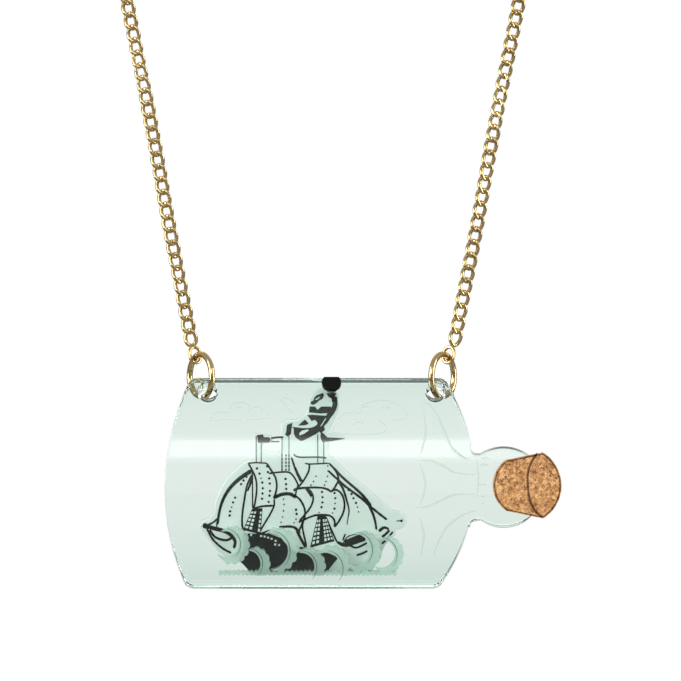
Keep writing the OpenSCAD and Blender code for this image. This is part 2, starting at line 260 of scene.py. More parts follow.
@dataclass(frozen=True)
class ClearAcrylic(Finish):
    """Clear tinted acrylic that bends light and lets the lamps through."""

    tint: Colour = (0.77, 0.86, 0.81)
    # deep is painted shade: the deeper tint towards the top and bottom of the sheet, full at reach from the
    # middle height
    deep: Colour = (0.62, 0.77, 0.70)
    roughness: float = 0.02
    middle: float = -0.1285
    reach: float = 0.023
    shadow: Colour = (0.95, 0.98, 0.965)

    def shader(self, nodes: Nodes) -> Value:
        """Glass whose tint deepens towards the top and bottom of the sheet, as painted shade where it turns
        away, and a clear path for shadows.

        Args:
            nodes: the tree to build in.

        Returns:
            The shader.
        """
        smudge = nodes.noise(160, 4)
        height = nodes.add("ShaderNodeSeparateXYZ", {}, {0: nodes.place()})[2]
        # Painted shade: the tint deepens with height away from the sheet's middle, standing in for the darker
        # look where the sheet turns away
        away = (height - self.middle) * (1 / self.reach)
        tint = nodes.mix((away * away).at_most(1.0), self.tint, self.deep)
        glass = nodes.surface({
            "Base Color": tint,
            "Roughness": self.roughness + 0.03 * smudge,
            "IOR": 1.49,
            "Transmission Weight": 1.0,
        })
        clear = nodes.add("ShaderNodeBsdfTransparent", {}, {"Color": self.shadow})[0]
        shaded = nodes.add("ShaderNodeLightPath")["Is Shadow Ray"]
        return nodes.add("ShaderNodeMixShader", {}, {0: shaded, 1: glass, 2: clear})[0]


@dataclass(frozen=True)
class MilkyAcrylic(Finish):
    """Tinted acrylic that scatters light, with a polished face and fine specks."""

    tint: Colour
    deep: Colour
    roughness: float
    alpha: float = 1.0

    def shader(self, nodes: Nodes) -> Value:
        """A clouded body under a soft coat.

        Args:
            nodes: the tree to build in.

        Returns:
            The shader.
        """
        cloud = nodes.noise(240, 4)
        speck = nodes.noise(2600, 2)
        colour = nodes.mix(0.25 + 0.5 * cloud, self.tint, self.deep)
        return nodes.surface({
            "Base Color": colour,
            "Roughness": self.roughness + 0.12 * speck,
            "IOR": 1.49,
            "Coat Weight": 0.3,
            "Coat Roughness": 0.08,
            "Alpha": self.alpha,
            "Normal": nodes.bump(speck, 0.00002, 0.35),
        })


@dataclass(frozen=True)
class Ink(Finish):
    """Black ink rubbed into an engraving, thin in places."""

    colour: Colour = (0.002, 0.004, 0.003)
    worn: Colour = (0.018, 0.026, 0.022)

    def shader(self, nodes: Nodes) -> Value:
        """Ink with a broken, satin surface.

        Args:
            nodes: the tree to build in.

        Returns:
            The shader.
        """
        wear = nodes.noise(1400, 5, 0.7)
        colour = nodes.ramp(wear, (0.4, self.colour), (0.8, self.worn))
        return nodes.surface({
            "Base Color": colour,
            "Roughness": 0.5 + 0.3 * wear,
            "Specular IOR Level": 0.08,
            "Normal": nodes.bump(wear, 0.00003, 0.5),
        })


@dataclass(frozen=True)
class Engraving(Finish):
    """A frosted line cut into clear acrylic."""

    colour: Colour = (0.36, 0.47, 0.42)
    alpha: float = 0.42

    def shader(self, nodes: Nodes) -> Value:
        """A matt, half see-through groove with a grainy floor.

        Args:
            nodes: the tree to build in.

        Returns:
            The shader.
        """
        grain = nodes.noise(4000, 3)
        return nodes.surface({
            "Base Color": self.colour,
            "Roughness": 0.6 + 0.3 * grain,
            "Alpha": self.alpha,
            "Normal": nodes.bump(grain, 0.00003, 0.5),
        })


@dataclass(frozen=True)
class PressedCork(Finish):
    """Cork granules pressed into a sheet, with dark flecks between them and painted shade in the pits where
    they meet.
    """

    burnt: float = 0.0
    granules: float = 1150.0

    def shader(self, nodes: Nodes) -> Value:
        """Granules of many browns, pitted where they meet, with painted shade darkening the pits.

        Args:
            nodes: the tree to build in.

        Returns:
            The shader.
        """
        place = nodes.place()
        warp = nodes.add("ShaderNodeTexNoise", {}, {"Vector": place, "Scale": 1300.0, "Detail": 3.0})["Color"]
        bent = nodes.add("ShaderNodeMix", {"data_type": "VECTOR"}, {0: 0.0007, 4: place, 5: warp})[1]
        cells = {"Vector": bent, "Scale": self.granules}
        grains = nodes.add("ShaderNodeTexVoronoi", {}, cells)
        gaps = nodes.add("ShaderNodeTexVoronoi", {"feature": "DISTANCE_TO_EDGE"}, cells)
        shade = nodes.add("ShaderNodeSeparateColor", {}, {"Color": grains["Color"]})["Red"]
        fine = nodes.noise(6500, 4, 0.7)
        flecks = nodes.noise(1500, 6, 0.8)
        colour = nodes.ramp(
            0.6 * shade + 0.45 * fine, (0.15, (0.34, 0.15, 0.05)), (0.42, (0.52, 0.26, 0.10)),
            (0.7, (0.64, 0.35, 0.15)), (0.95, (0.76, 0.46, 0.23)))
        dark = nodes.ramp(flecks, (0.43, (1, 1, 1)), (0.48, (0, 0, 0)))
        colour = nodes.mix(0.85 * dark, colour, (0.10, 0.04, 0.015))
        # Painted shade: darker where the granules meet, in the pits that the bump sinks
        edge = (1 - 8 * gaps["Distance"]).at_least(0)
        colour = nodes.mix(0.5 * edge, colour, (0.16, 0.065, 0.022))
        if self.burnt:
            colour = nodes.mix(self.burnt, colour, (0.02, 0.008, 0.004))
        height = 0.6 * fine + 0.4 * flecks - 0.5 * edge
        return nodes.surface({
            "Base Color": colour,
            "Roughness": 0.78 + 0.2 * fine,
            "Specular IOR Level": 0.25,
            "Normal": nodes.bump(height, 0.00010, 0.8),
        })


@dataclass(frozen=True)
class Metal(Finish):
    """Polished metal with fine handling marks."""

    colour: Colour = (0.88, 0.67, 0.34)
    shade: Colour = (0.66, 0.47, 0.19)
    roughness: float = 0.08

    def shader(self, nodes: Nodes) -> Value:
        """Plating a little duller in places.

        Args:
            nodes: the tree to build in.

        Returns:
            The shader.
        """
        marks = nodes.noise(3200, 4, 0.7)
        tone = nodes.noise(420, 2)
        return nodes.surface({
            "Base Color": nodes.mix(tone, self.colour, self.shade),
            "Metallic": 1.0,
            "Roughness": self.roughness + 0.14 * marks,
            "Normal": nodes.bump(marks, 0.00001, 0.3),
        })


@dataclass(frozen=True)
class Moulded(Finish):
    """Plain moulded plastic or paint with a fine texture."""

    colour: Colour = (0.002, 0.003, 0.0025)
    light: Colour = (0.006, 0.008, 0.007)
    roughness: float = 0.25

    def shader(self, nodes: Nodes) -> Value:
        """A solid colour with a little unevenness.

        Args:
            nodes: the tree to build in.

        Returns:
            The shader.
        """
        grain = nodes.noise(2200, 3)
        return nodes.surface({
            "Base Color": nodes.mix(grain, self.colour, self.light),
            "Roughness": self.roughness + 0.12 * grain,
            "Specular IOR Level": 0.1,
            "Normal": nodes.bump(grain, 0.00002, 0.3),
        })


BOTTLE = ClearAcrylic("clear mint acrylic")
# Painted shade: the sheet's cut edges get a deeper mint than its faces, standing in for the long light path
# along them
EDGE = ClearAcrylic("cut edge of mint acrylic", (0.66, 0.82, 0.74), (0.58, 0.76, 0.67), 0.05)
SHIP = MilkyAcrylic("pale ship acrylic", (0.87, 0.88, 0.885), (0.82, 0.84, 0.84), 0.3)
# Painted shade: a darker copy of the ship acrylic for the plate's cut edges, standing in for the grey shade
# along its outline
RIM_SHADE = MilkyAcrylic("cut edge of ship acrylic", (0.66, 0.72, 0.69), (0.56, 0.64, 0.61), 0.2)
WAVES = MilkyAcrylic("mint wave acrylic", (0.78, 0.90, 0.84), (0.69, 0.84, 0.77), 0.25, 0.62)
# Painted shade: an opaque deep mint on the drilled walls, standing in for how the holes' walls look through the
# sheet
BORE_SHADE = MilkyAcrylic("drilled mint acrylic", (0.42, 0.72, 0.60), (0.36, 0.66, 0.54), 0.4)
INK = Ink("rubbed ink")
FROST = Engraving("frosted engraving")
GROOVE = Engraving("shaded groove", (0.13, 0.20, 0.17), 0.75)
CORK = PressedCork("pressed cork")
BURNT = PressedCork("burnt cork edge", 0.82)
GOLD = Metal("gold plate")
STEEL = Metal("spring steel", (0.62, 0.62, 0.60), (0.45, 0.45, 0.44), 0.2)
STUD = Moulded("black stud")


# --- shapes ---


def smooth(points: Sequence, steps: int = 6) -> list[Vector]:
    """A curve through points.

    Args:
        points: two or three numbers each.
        steps: pieces between each two points.

    Returns:
        The curve's points, ends included.
    """
    p = [Vector(q) for q in points]
    last = len(p) - 1
    made = []
    for i in range(last):
        a, b, c, d = p[max(i - 1, 0)], p[i], p[i + 1], p[min(i + 2, last)]
        for k in range(steps):
            t = k / steps
            made.append(0.5 * (2 * b + (c - a) * t + (2 * a - 5 * b + 4 * c - d) * t * t
                               + (3 * b - a - 3 * c + d) * t ** 3))
    return made + [p[-1]]


def arc(at: Point, radius: float, start: float, end: float, steps: int) -> list[Vector]:
    """Points on an arc, with angles in degrees."""
    turns = [math.radians(start + (end - start) * k / steps) for k in range(steps + 1)]
    return [Vector((at[0] + radius * math.cos(t), at[1] + radius * math.sin(t))) for t in turns]


def make_object(name: str, mesh: bpy.types.Mesh) -> bpy.types.Object:
    """Puts a mesh or a curve in the scene.

    Args:
        name: the name of the piece.
        mesh: its mesh or curve.

    Returns:
        The object.
    """
    made = bpy.data.objects.new(name, mesh)
    bpy.context.scene.collection.objects.link(made)
    return made


def from_parts(name: str, verts: Iterable[Vector], faces: Iterable[Sequence[int]], is_smooth: bool = True,
               scale: float = MM) -> bpy.types.Object:
    """Makes a mesh object from points and faces.

    Args:
        name: the name of the piece.
        verts: its points, in millimetres unless scale says otherwise.
        faces: the numbers of each face's points.
        is_smooth: whether its faces are shaded smooth.
        scale: metres in one unit of the points.

    Returns:
        The object.
    """
    mesh = bpy.data.meshes.new(name)
    mesh.from_pydata([tuple(v * scale) for v in verts], [], [list(f) for f in faces])
    mesh.update()
    for polygon in mesh.polygons:
        polygon.use_smooth = is_smooth
    return make_object(name, mesh)


def dress(piece: bpy.types.Object, finishes: Sequence[Finish], body: Body,
          replaced: Sequence[str] = ()) -> bpy.types.Object:
    """Gives a piece its materials, the body it rides on and the CAD nodes it stands for.

    Args:
        piece: the piece.
        finishes: its finishes, by material number.
        body: the body that it rides on.
        replaced: the CAD nodes that it stands for.

    Returns:
        The piece.
    """
    piece.data.materials.clear()
    for finish in finishes:
        piece.data.materials.append(finish.material())
    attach(piece, body.value)
    if replaced:
        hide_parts(*replaced)
    return piece


def dress_node(frame: dict, node: str, finish: Finish) -> bpy.types.Object:
    """Gives a CAD node a better material in all its slots.

    Args:
        frame: the loaded frame.
        node: the node's name.
        finish: its finish.

    Returns:
        The node's object.
    """
    piece = frame["nodes"][node]
    for material_slot in piece.material_slots:
        material_slot.material = finish.material()
    return piece


def wire(path: Sequence[Vector], radius: float, sides: int, across: Vector | None = None,
         closed: bool = False) -> tuple[list[Vector], list[tuple[int, ...]]]:
    """A round wire along a path.

    Args:
        path: points of its middle.
        radius: its radius, in the path's unit.
        sides: corners round it.
        across: a direction that the path never takes, or None for the frame of least twist.
        closed: whether its end joins its start.

    Returns:
        Its points and faces.
    """
    n = len(path)
    verts, faces = [], []
    last = None
    for i in range(n):
        back, ahead = (i - 1, (i + 1) % n) if closed else (max(i - 1, 0), min(i + 1, n - 1))
        along = (path[ahead] - path[back]).normalized()
        side = across if across is not None else (last if last is not None else along.orthogonal())
        out = (side - side.dot(along) * along).normalized()
        last = out
        up = along.cross(out)
        for k in range(sides):
            t = 2 * math.pi * k / sides
            verts.append(path[i] + radius * (math.cos(t) * out + math.sin(t) * up))
    for i in range(n if closed else n - 1):
        for k in range(sides):
            a, b = i * sides, (i + 1) % n * sides
            faces.append((a + k, a + (k + 1) % sides, b + (k + 1) % sides, b + k))
    if not closed:
        faces.append(tuple(range(sides - 1, -1, -1)))
        faces.append(tuple(range((n - 1) * sides, n * sides)))
    return verts, faces


def cut_plate(name: str, loops: Sequence[Sequence[Vector]], thickness: float,
              bevel: float) -> bmesh.types.BMesh:
    """A flat plate cut from sheet, in X and Z with its front towards -Y, in millimetres.

    Args:
        name: the name of the piece.
        loops: its outline and then its holes, all anticlockwise.
        thickness: the sheet's thickness.
        bevel: the polished rounding of its cut edges.

    Returns:
        The plate's mesh. Its cut edges have material 1.
    """
    curve = bpy.data.curves.new(name, "CURVE")
    curve.dimensions, curve.fill_mode = "2D", "BOTH"
    curve.extrude, curve.bevel_depth, curve.bevel_resolution = thickness / 2 - bevel, bevel, 2
    curve.offset = -bevel
    for number, loop in enumerate(loops):
        points = list(loop) if number == 0 else list(reversed(loop))
        spline = curve.splines.new("POLY")
        spline.points.add(len(points) - 1)
        for made, point in zip(spline.points, points):
            made.co = (point[0], point[1], 0, 1)
        spline.use_cyclic_u = True
    holder = make_object(name + "_curve", curve)
    bpy.context.view_layer.update()
    mesh = bpy.data.meshes.new_from_object(holder.evaluated_get(bpy.context.evaluated_depsgraph_get()))
    bpy.data.objects.remove(holder)
    bpy.data.curves.remove(curve)
    plate = bmesh.new()
    plate.from_mesh(mesh)
    bpy.data.meshes.remove(mesh)
    bmesh.ops.remove_doubles(plate, verts=plate.verts, dist=0.0005)
    bmesh.ops.rotate(plate, verts=plate.verts, matrix=Matrix.Rotation(math.pi / 2, 3, "X"))
    bmesh.ops.recalc_face_normals(plate, faces=plate.faces)
    for face in plate.faces:
        face.smooth = True
        face.material_index = 0 if abs(face.normal.y) > 0.999 else 1
    for edge in plate.edges:
        edge.smooth = len({face.material_index for face in edge.link_faces}) < 2
    return plate


def finish_mesh(name: str, made: bmesh.types.BMesh, placing: Callable[[Vector], Vector]) -> bpy.types.Object:
    """Moves a mesh's points to their place and makes it an object.

    Args:
        name: the name of the piece.
        made: its mesh, which is used up.
        placing: gives a point's place, in millimetres.

    Returns:
        The object.
    """
    for vert in made.verts:
        vert.co = placing(vert.co) * MM
    mesh = bpy.data.meshes.new(name)
    made.to_mesh(mesh)
    made.free()
    return make_object(name, mesh)


@dataclass(frozen=True)
class Stroke:
    """A drawn line: its points, its width at each end, how much it swells half-way, and whether it curves."""

    points: tuple[Point, ...]
    start: float = 0.27
    end: float | None = None
    swell: float = 0.0
    curved: bool = True


class Sketch:
    """Lines, dots and filled shapes drawn on a surface, as thin raised pieces that reach a little into it."""

    sink = 0.01

    def __init__(self, placing: Placing, depth: float = 0.03, weight: float = 1.0) -> None:
        """Starts an empty sketch.

        Args:
            placing: gives the point for x, z and a height above the surface, in millimetres.
            depth: thickness of the drawing.
            weight: thickening of every line.
        """
        self.placing = placing
        self.depth = depth
        self.weight = weight
        self.verts: list[Vector] = []
        self.faces: list[tuple[int, ...]] = []

    def fill(self, outline: Sequence, lift: float = 0.0) -> None:
        """A filled shape.

        Args:
            outline: its corners.
            lift: height above the rest of the drawing.
        """
        n, base = len(outline), len(self.verts)
        for height in (lift + self.depth, lift - self.sink):
            self.verts += [self.placing(p[0], p[1], height) for p in outline]
        self.faces.append(tuple(base + k for k in range(n)))
        self.faces += [(base + k, base + n + k, base + n + (k + 1) % n, base + (k + 1) % n) for k in range(n)]

    def stroke(self, line: Stroke) -> None:
        """A line whose width goes evenly from its start to its end, with soft ends.

        Args:
            line: the line.
        """
        points = smooth(line.points, 5) if line.curved else [Vector(p) for p in line.points]
        end = line.start if line.end is None else line.end
        left, right = [], []
        for i, point in enumerate(points):
            along = (points[min(i + 1, len(points) - 1)] - points[max(i - 1, 0)]).normalized()
            share = i / (len(points) - 1)
            width = line.start + (end - line.start) * share + line.swell * math.sin(math.pi * share)
            width *= self.weight * (0.6 if i in (0, len(points) - 1) else 1)
            side = Vector((-along.y, along.x)) * width / 2
            left.append(point + side)
            right.append(point - side)
        base, n = len(self.verts), len(points)
        for height in (self.depth, -self.sink):
            self.verts += [self.placing(p[0], p[1], height) for p in left + right]
        for k in range(n - 1):
            self.faces.append((base + k, base + n + k, base + n + k + 1, base + k + 1))
            for a, b in ((base + k, base + k + 1), (base + n + k + 1, base + n + k)):
                self.faces.append((a, b, b + 2 * n, a + 2 * n))
        for a, b in ((base, base + n), (base + 2 * n - 1, base + n - 1)):
            self.faces.append((b, a, a + 2 * n, b + 2 * n))

    def strokes(self, lines: Iterable[Stroke]) -> None:
        """Several lines."""
        for line in lines:
            self.stroke(line)

    def dots(self, places: Iterable[Point], radius: float = 0.2) -> None:
        """Small round dots."""
        for place in places:
            self.fill(arc(place, radius * self.weight, 0, 315, 7))

    def build(self, name: str) -> bpy.types.Object:
        """The sketch as one object."""
        return from_parts(name, self.verts, self.faces, False)


# --- studio ---


@dataclass
class Studio:
    """Camera, soft lamps, white surroundings and a pale floor."""

    eye: Point3 = (0.0035, -0.930, -0.1014)
    lens: float = 238.0
    floor_z: float = -0.6
    floor_radius: float = 1.6
    floor_corners: int = 96
    even: float = 0.98
    sky: tuple[Point, ...] = ((0.0, 0.03), (0.35, 0.10), (0.6, 0.34), (0.8, 0.45), (1.0, 0.40))
    key_at: Point3 = (-0.28, -1.25, 0.36)
    keys: tuple[tuple[Point, float], ...] = (((0.7, 0.30), 1.0), ((0.9, 0.40), 0.9), ((1.2, 0.52), 1.0))
    middle: Point3 = (0.0, 0.0, -0.08)

    def camera(self) -> None:
        """A level camera in front of the pendant."""
        data = bpy.data.cameras.new("camera")
        data.lens, data.sensor_width = self.lens, 36
        camera = bpy.data.objects.new("camera", data)
        camera.location = self.eye
        camera.rotation_euler = (math.pi / 2, 0, 0)
        bpy.context.scene.collection.objects.link(camera)
        bpy.context.scene.camera = camera

    def lamp(self, name: str, place: Point3, aim: Point3, size: Point, power: float) -> None:
        """A rectangular softbox aimed at a point.

        Args:
            name: the lamp's name.
            place: where it stands, in metres.
            aim: what it points at.
            size: its width and height.
            power: its power in watts.
        """
        data = bpy.data.lights.new(name, "AREA")
        data.shape, data.energy = "RECTANGLE", power
        data.size, data.size_y = size
        lamp = bpy.data.objects.new(name, data)
        lamp.location = place
        lamp.rotation_euler = (Vector(aim) - Vector(place)).to_track_quat("-Z", "Y").to_euler()
        bpy.context.scene.collection.objects.link(lamp)

    def surroundings(self) -> None:
        """White to look at or through, an even light, and a gradient from dark to bright for reflections."""
        world = bpy.data.worlds.new("studio")
        bpy.context.scene.world = world
        nodes = Nodes(world)
        path = nodes.add("ShaderNodeLightPath")
        up = nodes.add("ShaderNodeSeparateXYZ", {}, {0: nodes.add("ShaderNodeTexCoord")["Generated"]})[2]
        sky = nodes.ramp(0.5 + 0.5 * up, *((height, (grey,) * 3) for height, grey in self.sky))
        shiny = nodes.add("ShaderNodeBackground", {}, {"Color": sky})[0]
        even = nodes.add("ShaderNodeBackground", {}, {"Color": (1.0, 1.0, 1.0), "Strength": self.even})[0]
        white = nodes.add("ShaderNodeBackground", {}, {"Color": (1.0, 1.0, 1.0)})[0]
        glossy = path["Is Glossy Ray"] * (1 - path["Is Transmission Ray"])
        unseen = nodes.add("ShaderNodeMixShader", {}, {0: glossy, 1: even, 2: shiny})[0]
        seen = path["Is Camera Ray"].at_least(path["Is Transmission Ray"])
        both = nodes.add("ShaderNodeMixShader", {}, {0: seen, 1: unseen, 2: white})[0]
        nodes.output(both, "ShaderNodeOutputWorld")

    def floor(self) -> None:
        """A pale round floor under the necklace, seen only from above and darker to glossy rays."""
        count = self.floor_corners
        ring = [Vector((self.floor_radius * math.cos(t), self.floor_radius * math.sin(t), self.floor_z))
                for t in (math.radians(360 * k / count) for k in range(count))]
        floor = from_parts("floor", ring, [tuple(range(count))], False, 1.0)
        material = bpy.data.materials.new("floor paint")
        nodes = Nodes(material)
        pale = nodes.mix(nodes.noise(6, 2), (0.76,) * 3, (0.79,) * 3)
        glossy = nodes.add("ShaderNodeLightPath")["Is Glossy Ray"]
        paint = nodes.surface({"Base Color": nodes.mix(glossy, pale, (0.2,) * 3), "Roughness": 0.9})
        clear = nodes.add("ShaderNodeBsdfTransparent")[0]
        under = nodes.add("ShaderNodeNewGeometry")["Backfacing"]
        nodes.output(nodes.add("ShaderNodeMixShader", {}, {0: under, 1: paint, 2: clear})[0])
        floor.data.materials.append(material)

    def build(self) -> None:
        """Lamps, surroundings and floor."""
        self.surroundings()
        # The key is feathered: three softboxes one behind the other, each larger
        for k, (size, power) in enumerate(self.keys):
            x, y, z = self.key_at[0] + 0.1 * k, self.key_at[1] - 0.01 * k, self.key_at[2]
            self.lamp(f"key softbox {k + 1}", (x, y, z), (x, -0.03, -0.125), size, power)
        self.lamp("left softbox", (-1.1, -0.55, 0.25), self.middle, (0.35, 1.0), 9)
        self.lamp("right softbox", (1.2, -0.3, 0.1), self.middle, (0.25, 1.0), 6.5)
        self.lamp("back softbox", (0.1, 1.2, 0.5), self.middle, (1.2, 0.6), 1.2)
        self.floor()
        bpy.context.scene.view_settings.view_transform = "Standard"


# --- necklace ---


@dataclass
class CurbChain:
    """One side of the curb chain, from the end link up and over to the clasp."""

    name: str
    side: int
    end: Point3
    pitch: float = 2.6
    width: float = 2.9
    length: float = 3.95
    wire_d: float = 0.78
    sway: float = 0.38
    filed: float = 0.56
    roll: float = 14.0
    drift: float = 8.0
    segments: int = 24
    sides: int = 8
    route: tuple[Point3, ...] = (
        (-26.3, -27.6, -102.1), (-28.6, -27.9, -90), (-30.9, -28, -78), (-33, -28, -66),
        (-35.2, -27.9, -54), (-37.4, -27.7, -43), (-39.5, -27.3, -32), (-41.2, -26.5, -20),
        (-42.4, -25, -6), (-42.6, -22.5, 8), (-40.4, -19, 22), (-35.6, -15, 36),
        (-28.6, -11.5, 48), (-20.8, -9, 57), (-13.4, -7.4, 62.5))

    def centreline(self) -> list[Vector]:
        """The chain's middle line, in millimetres."""
        points = smooth([*self.route, self.end], 8)
        return [Vector((-self.side * p.x, p.y, p.z)) for p in points]

    def link(self) -> tuple[list[Vector], list[tuple[int, ...]]]:
        """One twisted link, long along Z with its flat faces across Y, filed flat on both.

        Returns:
            Its points and faces.
        """
        turns = [2 * math.pi * k / self.segments for k in range(self.segments)]
        a, b = (self.width - self.wire_d) / 2, (self.length - self.wire_d) / 2
        path = [Vector((a * math.cos(t), self.sway * math.sin(2 * t), b * math.sin(t))) for t in turns]
        verts, faces = wire(path, self.wire_d / 2, self.sides, Vector((0, 1, 0)), True)
        return [Vector((v.x, max(-self.filed, min(self.filed, v.y)), v.z)) for v in verts], faces

    def frames(self) -> list[Matrix]:
        """The place and turn of each link along the chain, a little uneven from link to link.

        Returns:
            One matrix for each link.
        """
        line = self.centreline()
        lengths = [0.0]
        for a, b in zip(line, line[1:]):
            lengths.append(lengths[-1] + (b - a).length)
        count = round(lengths[-1] / self.pitch)
        made, out, k = [], Vector((0, -1, 0)), 0
        for i in range(count):
            at = (i + 0.5) * lengths[-1] / count
            while lengths[k + 1] < at:
                k += 1
            along = (line[k + 1] - line[k]).normalized()
            place = line[k].lerp(line[k + 1], (at - lengths[k]) / (lengths[k + 1] - lengths[k]))
            out = (out - out.dot(along) * along).normalized()
            roll = math.radians(self.roll * math.sin(i * 0.55 + self.side) + self.drift * math.sin(i * 0.23))
            face = Matrix.Rotation(roll, 3, along) @ out
            turn = Matrix((along.cross(-face), -face, along)).transposed()
            made.append(Matrix.Translation(place) @ turn.to_4x4())
        return made

    def build(self) -> bpy.types.Object:
        """The links as one piece.

        Returns:
            The piece.
        """
        link_verts, link_faces = self.link()
        verts: list[Vector] = []
        faces: list[tuple[int, ...]] = []
        for matrix in self.frames():
            base = len(verts)
            verts += [matrix @ v for v in link_verts]
            faces += [tuple(base + k for k in face) for face in link_faces]
        piece = from_parts(self.name + "_links", verts, faces)
        dress(piece, [GOLD], Body.NECKLACE, [self.name])
        line = self.centreline()
        return piece


@dataclass
class HangingRing:
    """A big jump ring through the bottle, and the chain's end link in it."""

    name: str
    side: int
    body: Body
    centre: Point3
    radius: float = 4.4
    wire_r: float = 0.62
    turn: float = 58.0
    cut: float = 2.0
    cut_at: float = -110.0
    link_seat: float = 120.0
    link_bend: float = 1.17
    link_half: float = 0.45
    link_wire_r: float = 0.33
    link_lift: float = 0.47
    link_lean: float = 14.0

    def place(self, point: Vector) -> Vector:
        """A point of the left ring's own frame, put at this ring's side."""
        return Vector(self.centre) + Vector((-self.side * point.x, point.y, point.z))

    def ring(self) -> bpy.types.Object:
        """The ring, with its fine cut.

        Returns:
            The piece.
        """
        turn = math.radians(self.turn)
        across, up = Vector((math.cos(turn), -math.sin(turn), 0)), Vector((0, 0, 1))
        start, steps = self.cut_at + self.cut / 2, 96
        path = []
        for k in range(steps + 1):
            t = math.radians(start + (360 - self.cut) * k / steps)
            path.append(self.place(self.radius * (math.cos(t) * across + math.sin(t) * up)))
        verts, faces = wire(path, self.wire_r, 20, Vector((-self.side * across.x, across.y, 0)).cross(up))
        piece = from_parts(self.name + "_wire", verts, faces)
        return dress(piece, [GOLD], self.body, [self.name])

    def end_link(self, node: str) -> bpy.types.Object:
        """The oval end link that the ring hangs in.

        Args:
            node: the CAD node that it stands for.

        Returns:
            The piece.
        """
        seat, turn = math.radians(self.link_seat), math.radians(self.turn)
        touch = self.radius * Vector((
            math.cos(seat) * math.cos(turn), -math.cos(seat) * math.sin(turn), math.sin(seat)))
        matrix = (Matrix.Translation(touch) @ Matrix.Rotation(math.radians(90 - self.turn), 4, "Z")
                  @ Matrix.Rotation(math.radians(-self.link_lean), 4, "X")
                  @ Matrix.Translation((0, 0, self.link_lift)))
        flat = (arc((0, self.link_half), self.link_bend, 0, 180, 16)
                + arc((0, -self.link_half), self.link_bend, 180, 360, 16))
        path = [self.place(matrix @ Vector((p.x, 0, p.y))) for p in flat]
        verts, faces = wire(path, self.link_wire_r, 14, closed=True)
        piece = from_parts(node + "_wire", verts, faces)
        return dress(piece, [GOLD], Body.NECKLACE, [node])


@dataclass
class Clasp:
    """The lobster clasp and its small rings, at the top."""

    at: Point3 = (2.6, -6.5, 65)
    pocket: Point = (-5.3, -4.2)
    spring_r: float = 0.46
    spring_wire_r: float = 0.12
    spring_fit: float = 0.08
    spring_turns: int = 3
    turn_steps: int = 24

    def spring(self) -> bpy.types.Object:
        """The lever's coil spring.

        Returns:
            The piece.
        """
        start = self.pocket[0] + self.spring_wire_r + self.spring_fit
        length = self.pocket[1] - start - self.spring_wire_r - self.spring_fit
        steps = self.turn_steps * self.spring_turns
        path = []
        for k in range(steps + 1):
            t = 2 * math.pi * k / self.turn_steps
            path.append(Vector(self.at) + Vector((
                start + length * k / steps, self.spring_r * math.sin(t), self.spring_r * math.cos(t))))
        verts, faces = wire(path, self.spring_wire_r, 8, Vector((1, 0, 0)))
        piece = from_parts("spring_coil", verts, faces)
        return dress(piece, [STEEL], Body.NECKLACE, ["clasp_spring"])

    def build(self, frame: dict) -> None:
        """The spring, and gold plate on the rest.

        Args:
            frame: the loaded frame.
        """
        self.spring()
        for node in ("clasp_body", "clasp_lever", "clasp_pin", "clasp_ring", "catch_ring"):
            dress_node(frame, node, GOLD)


# --- pendant ---


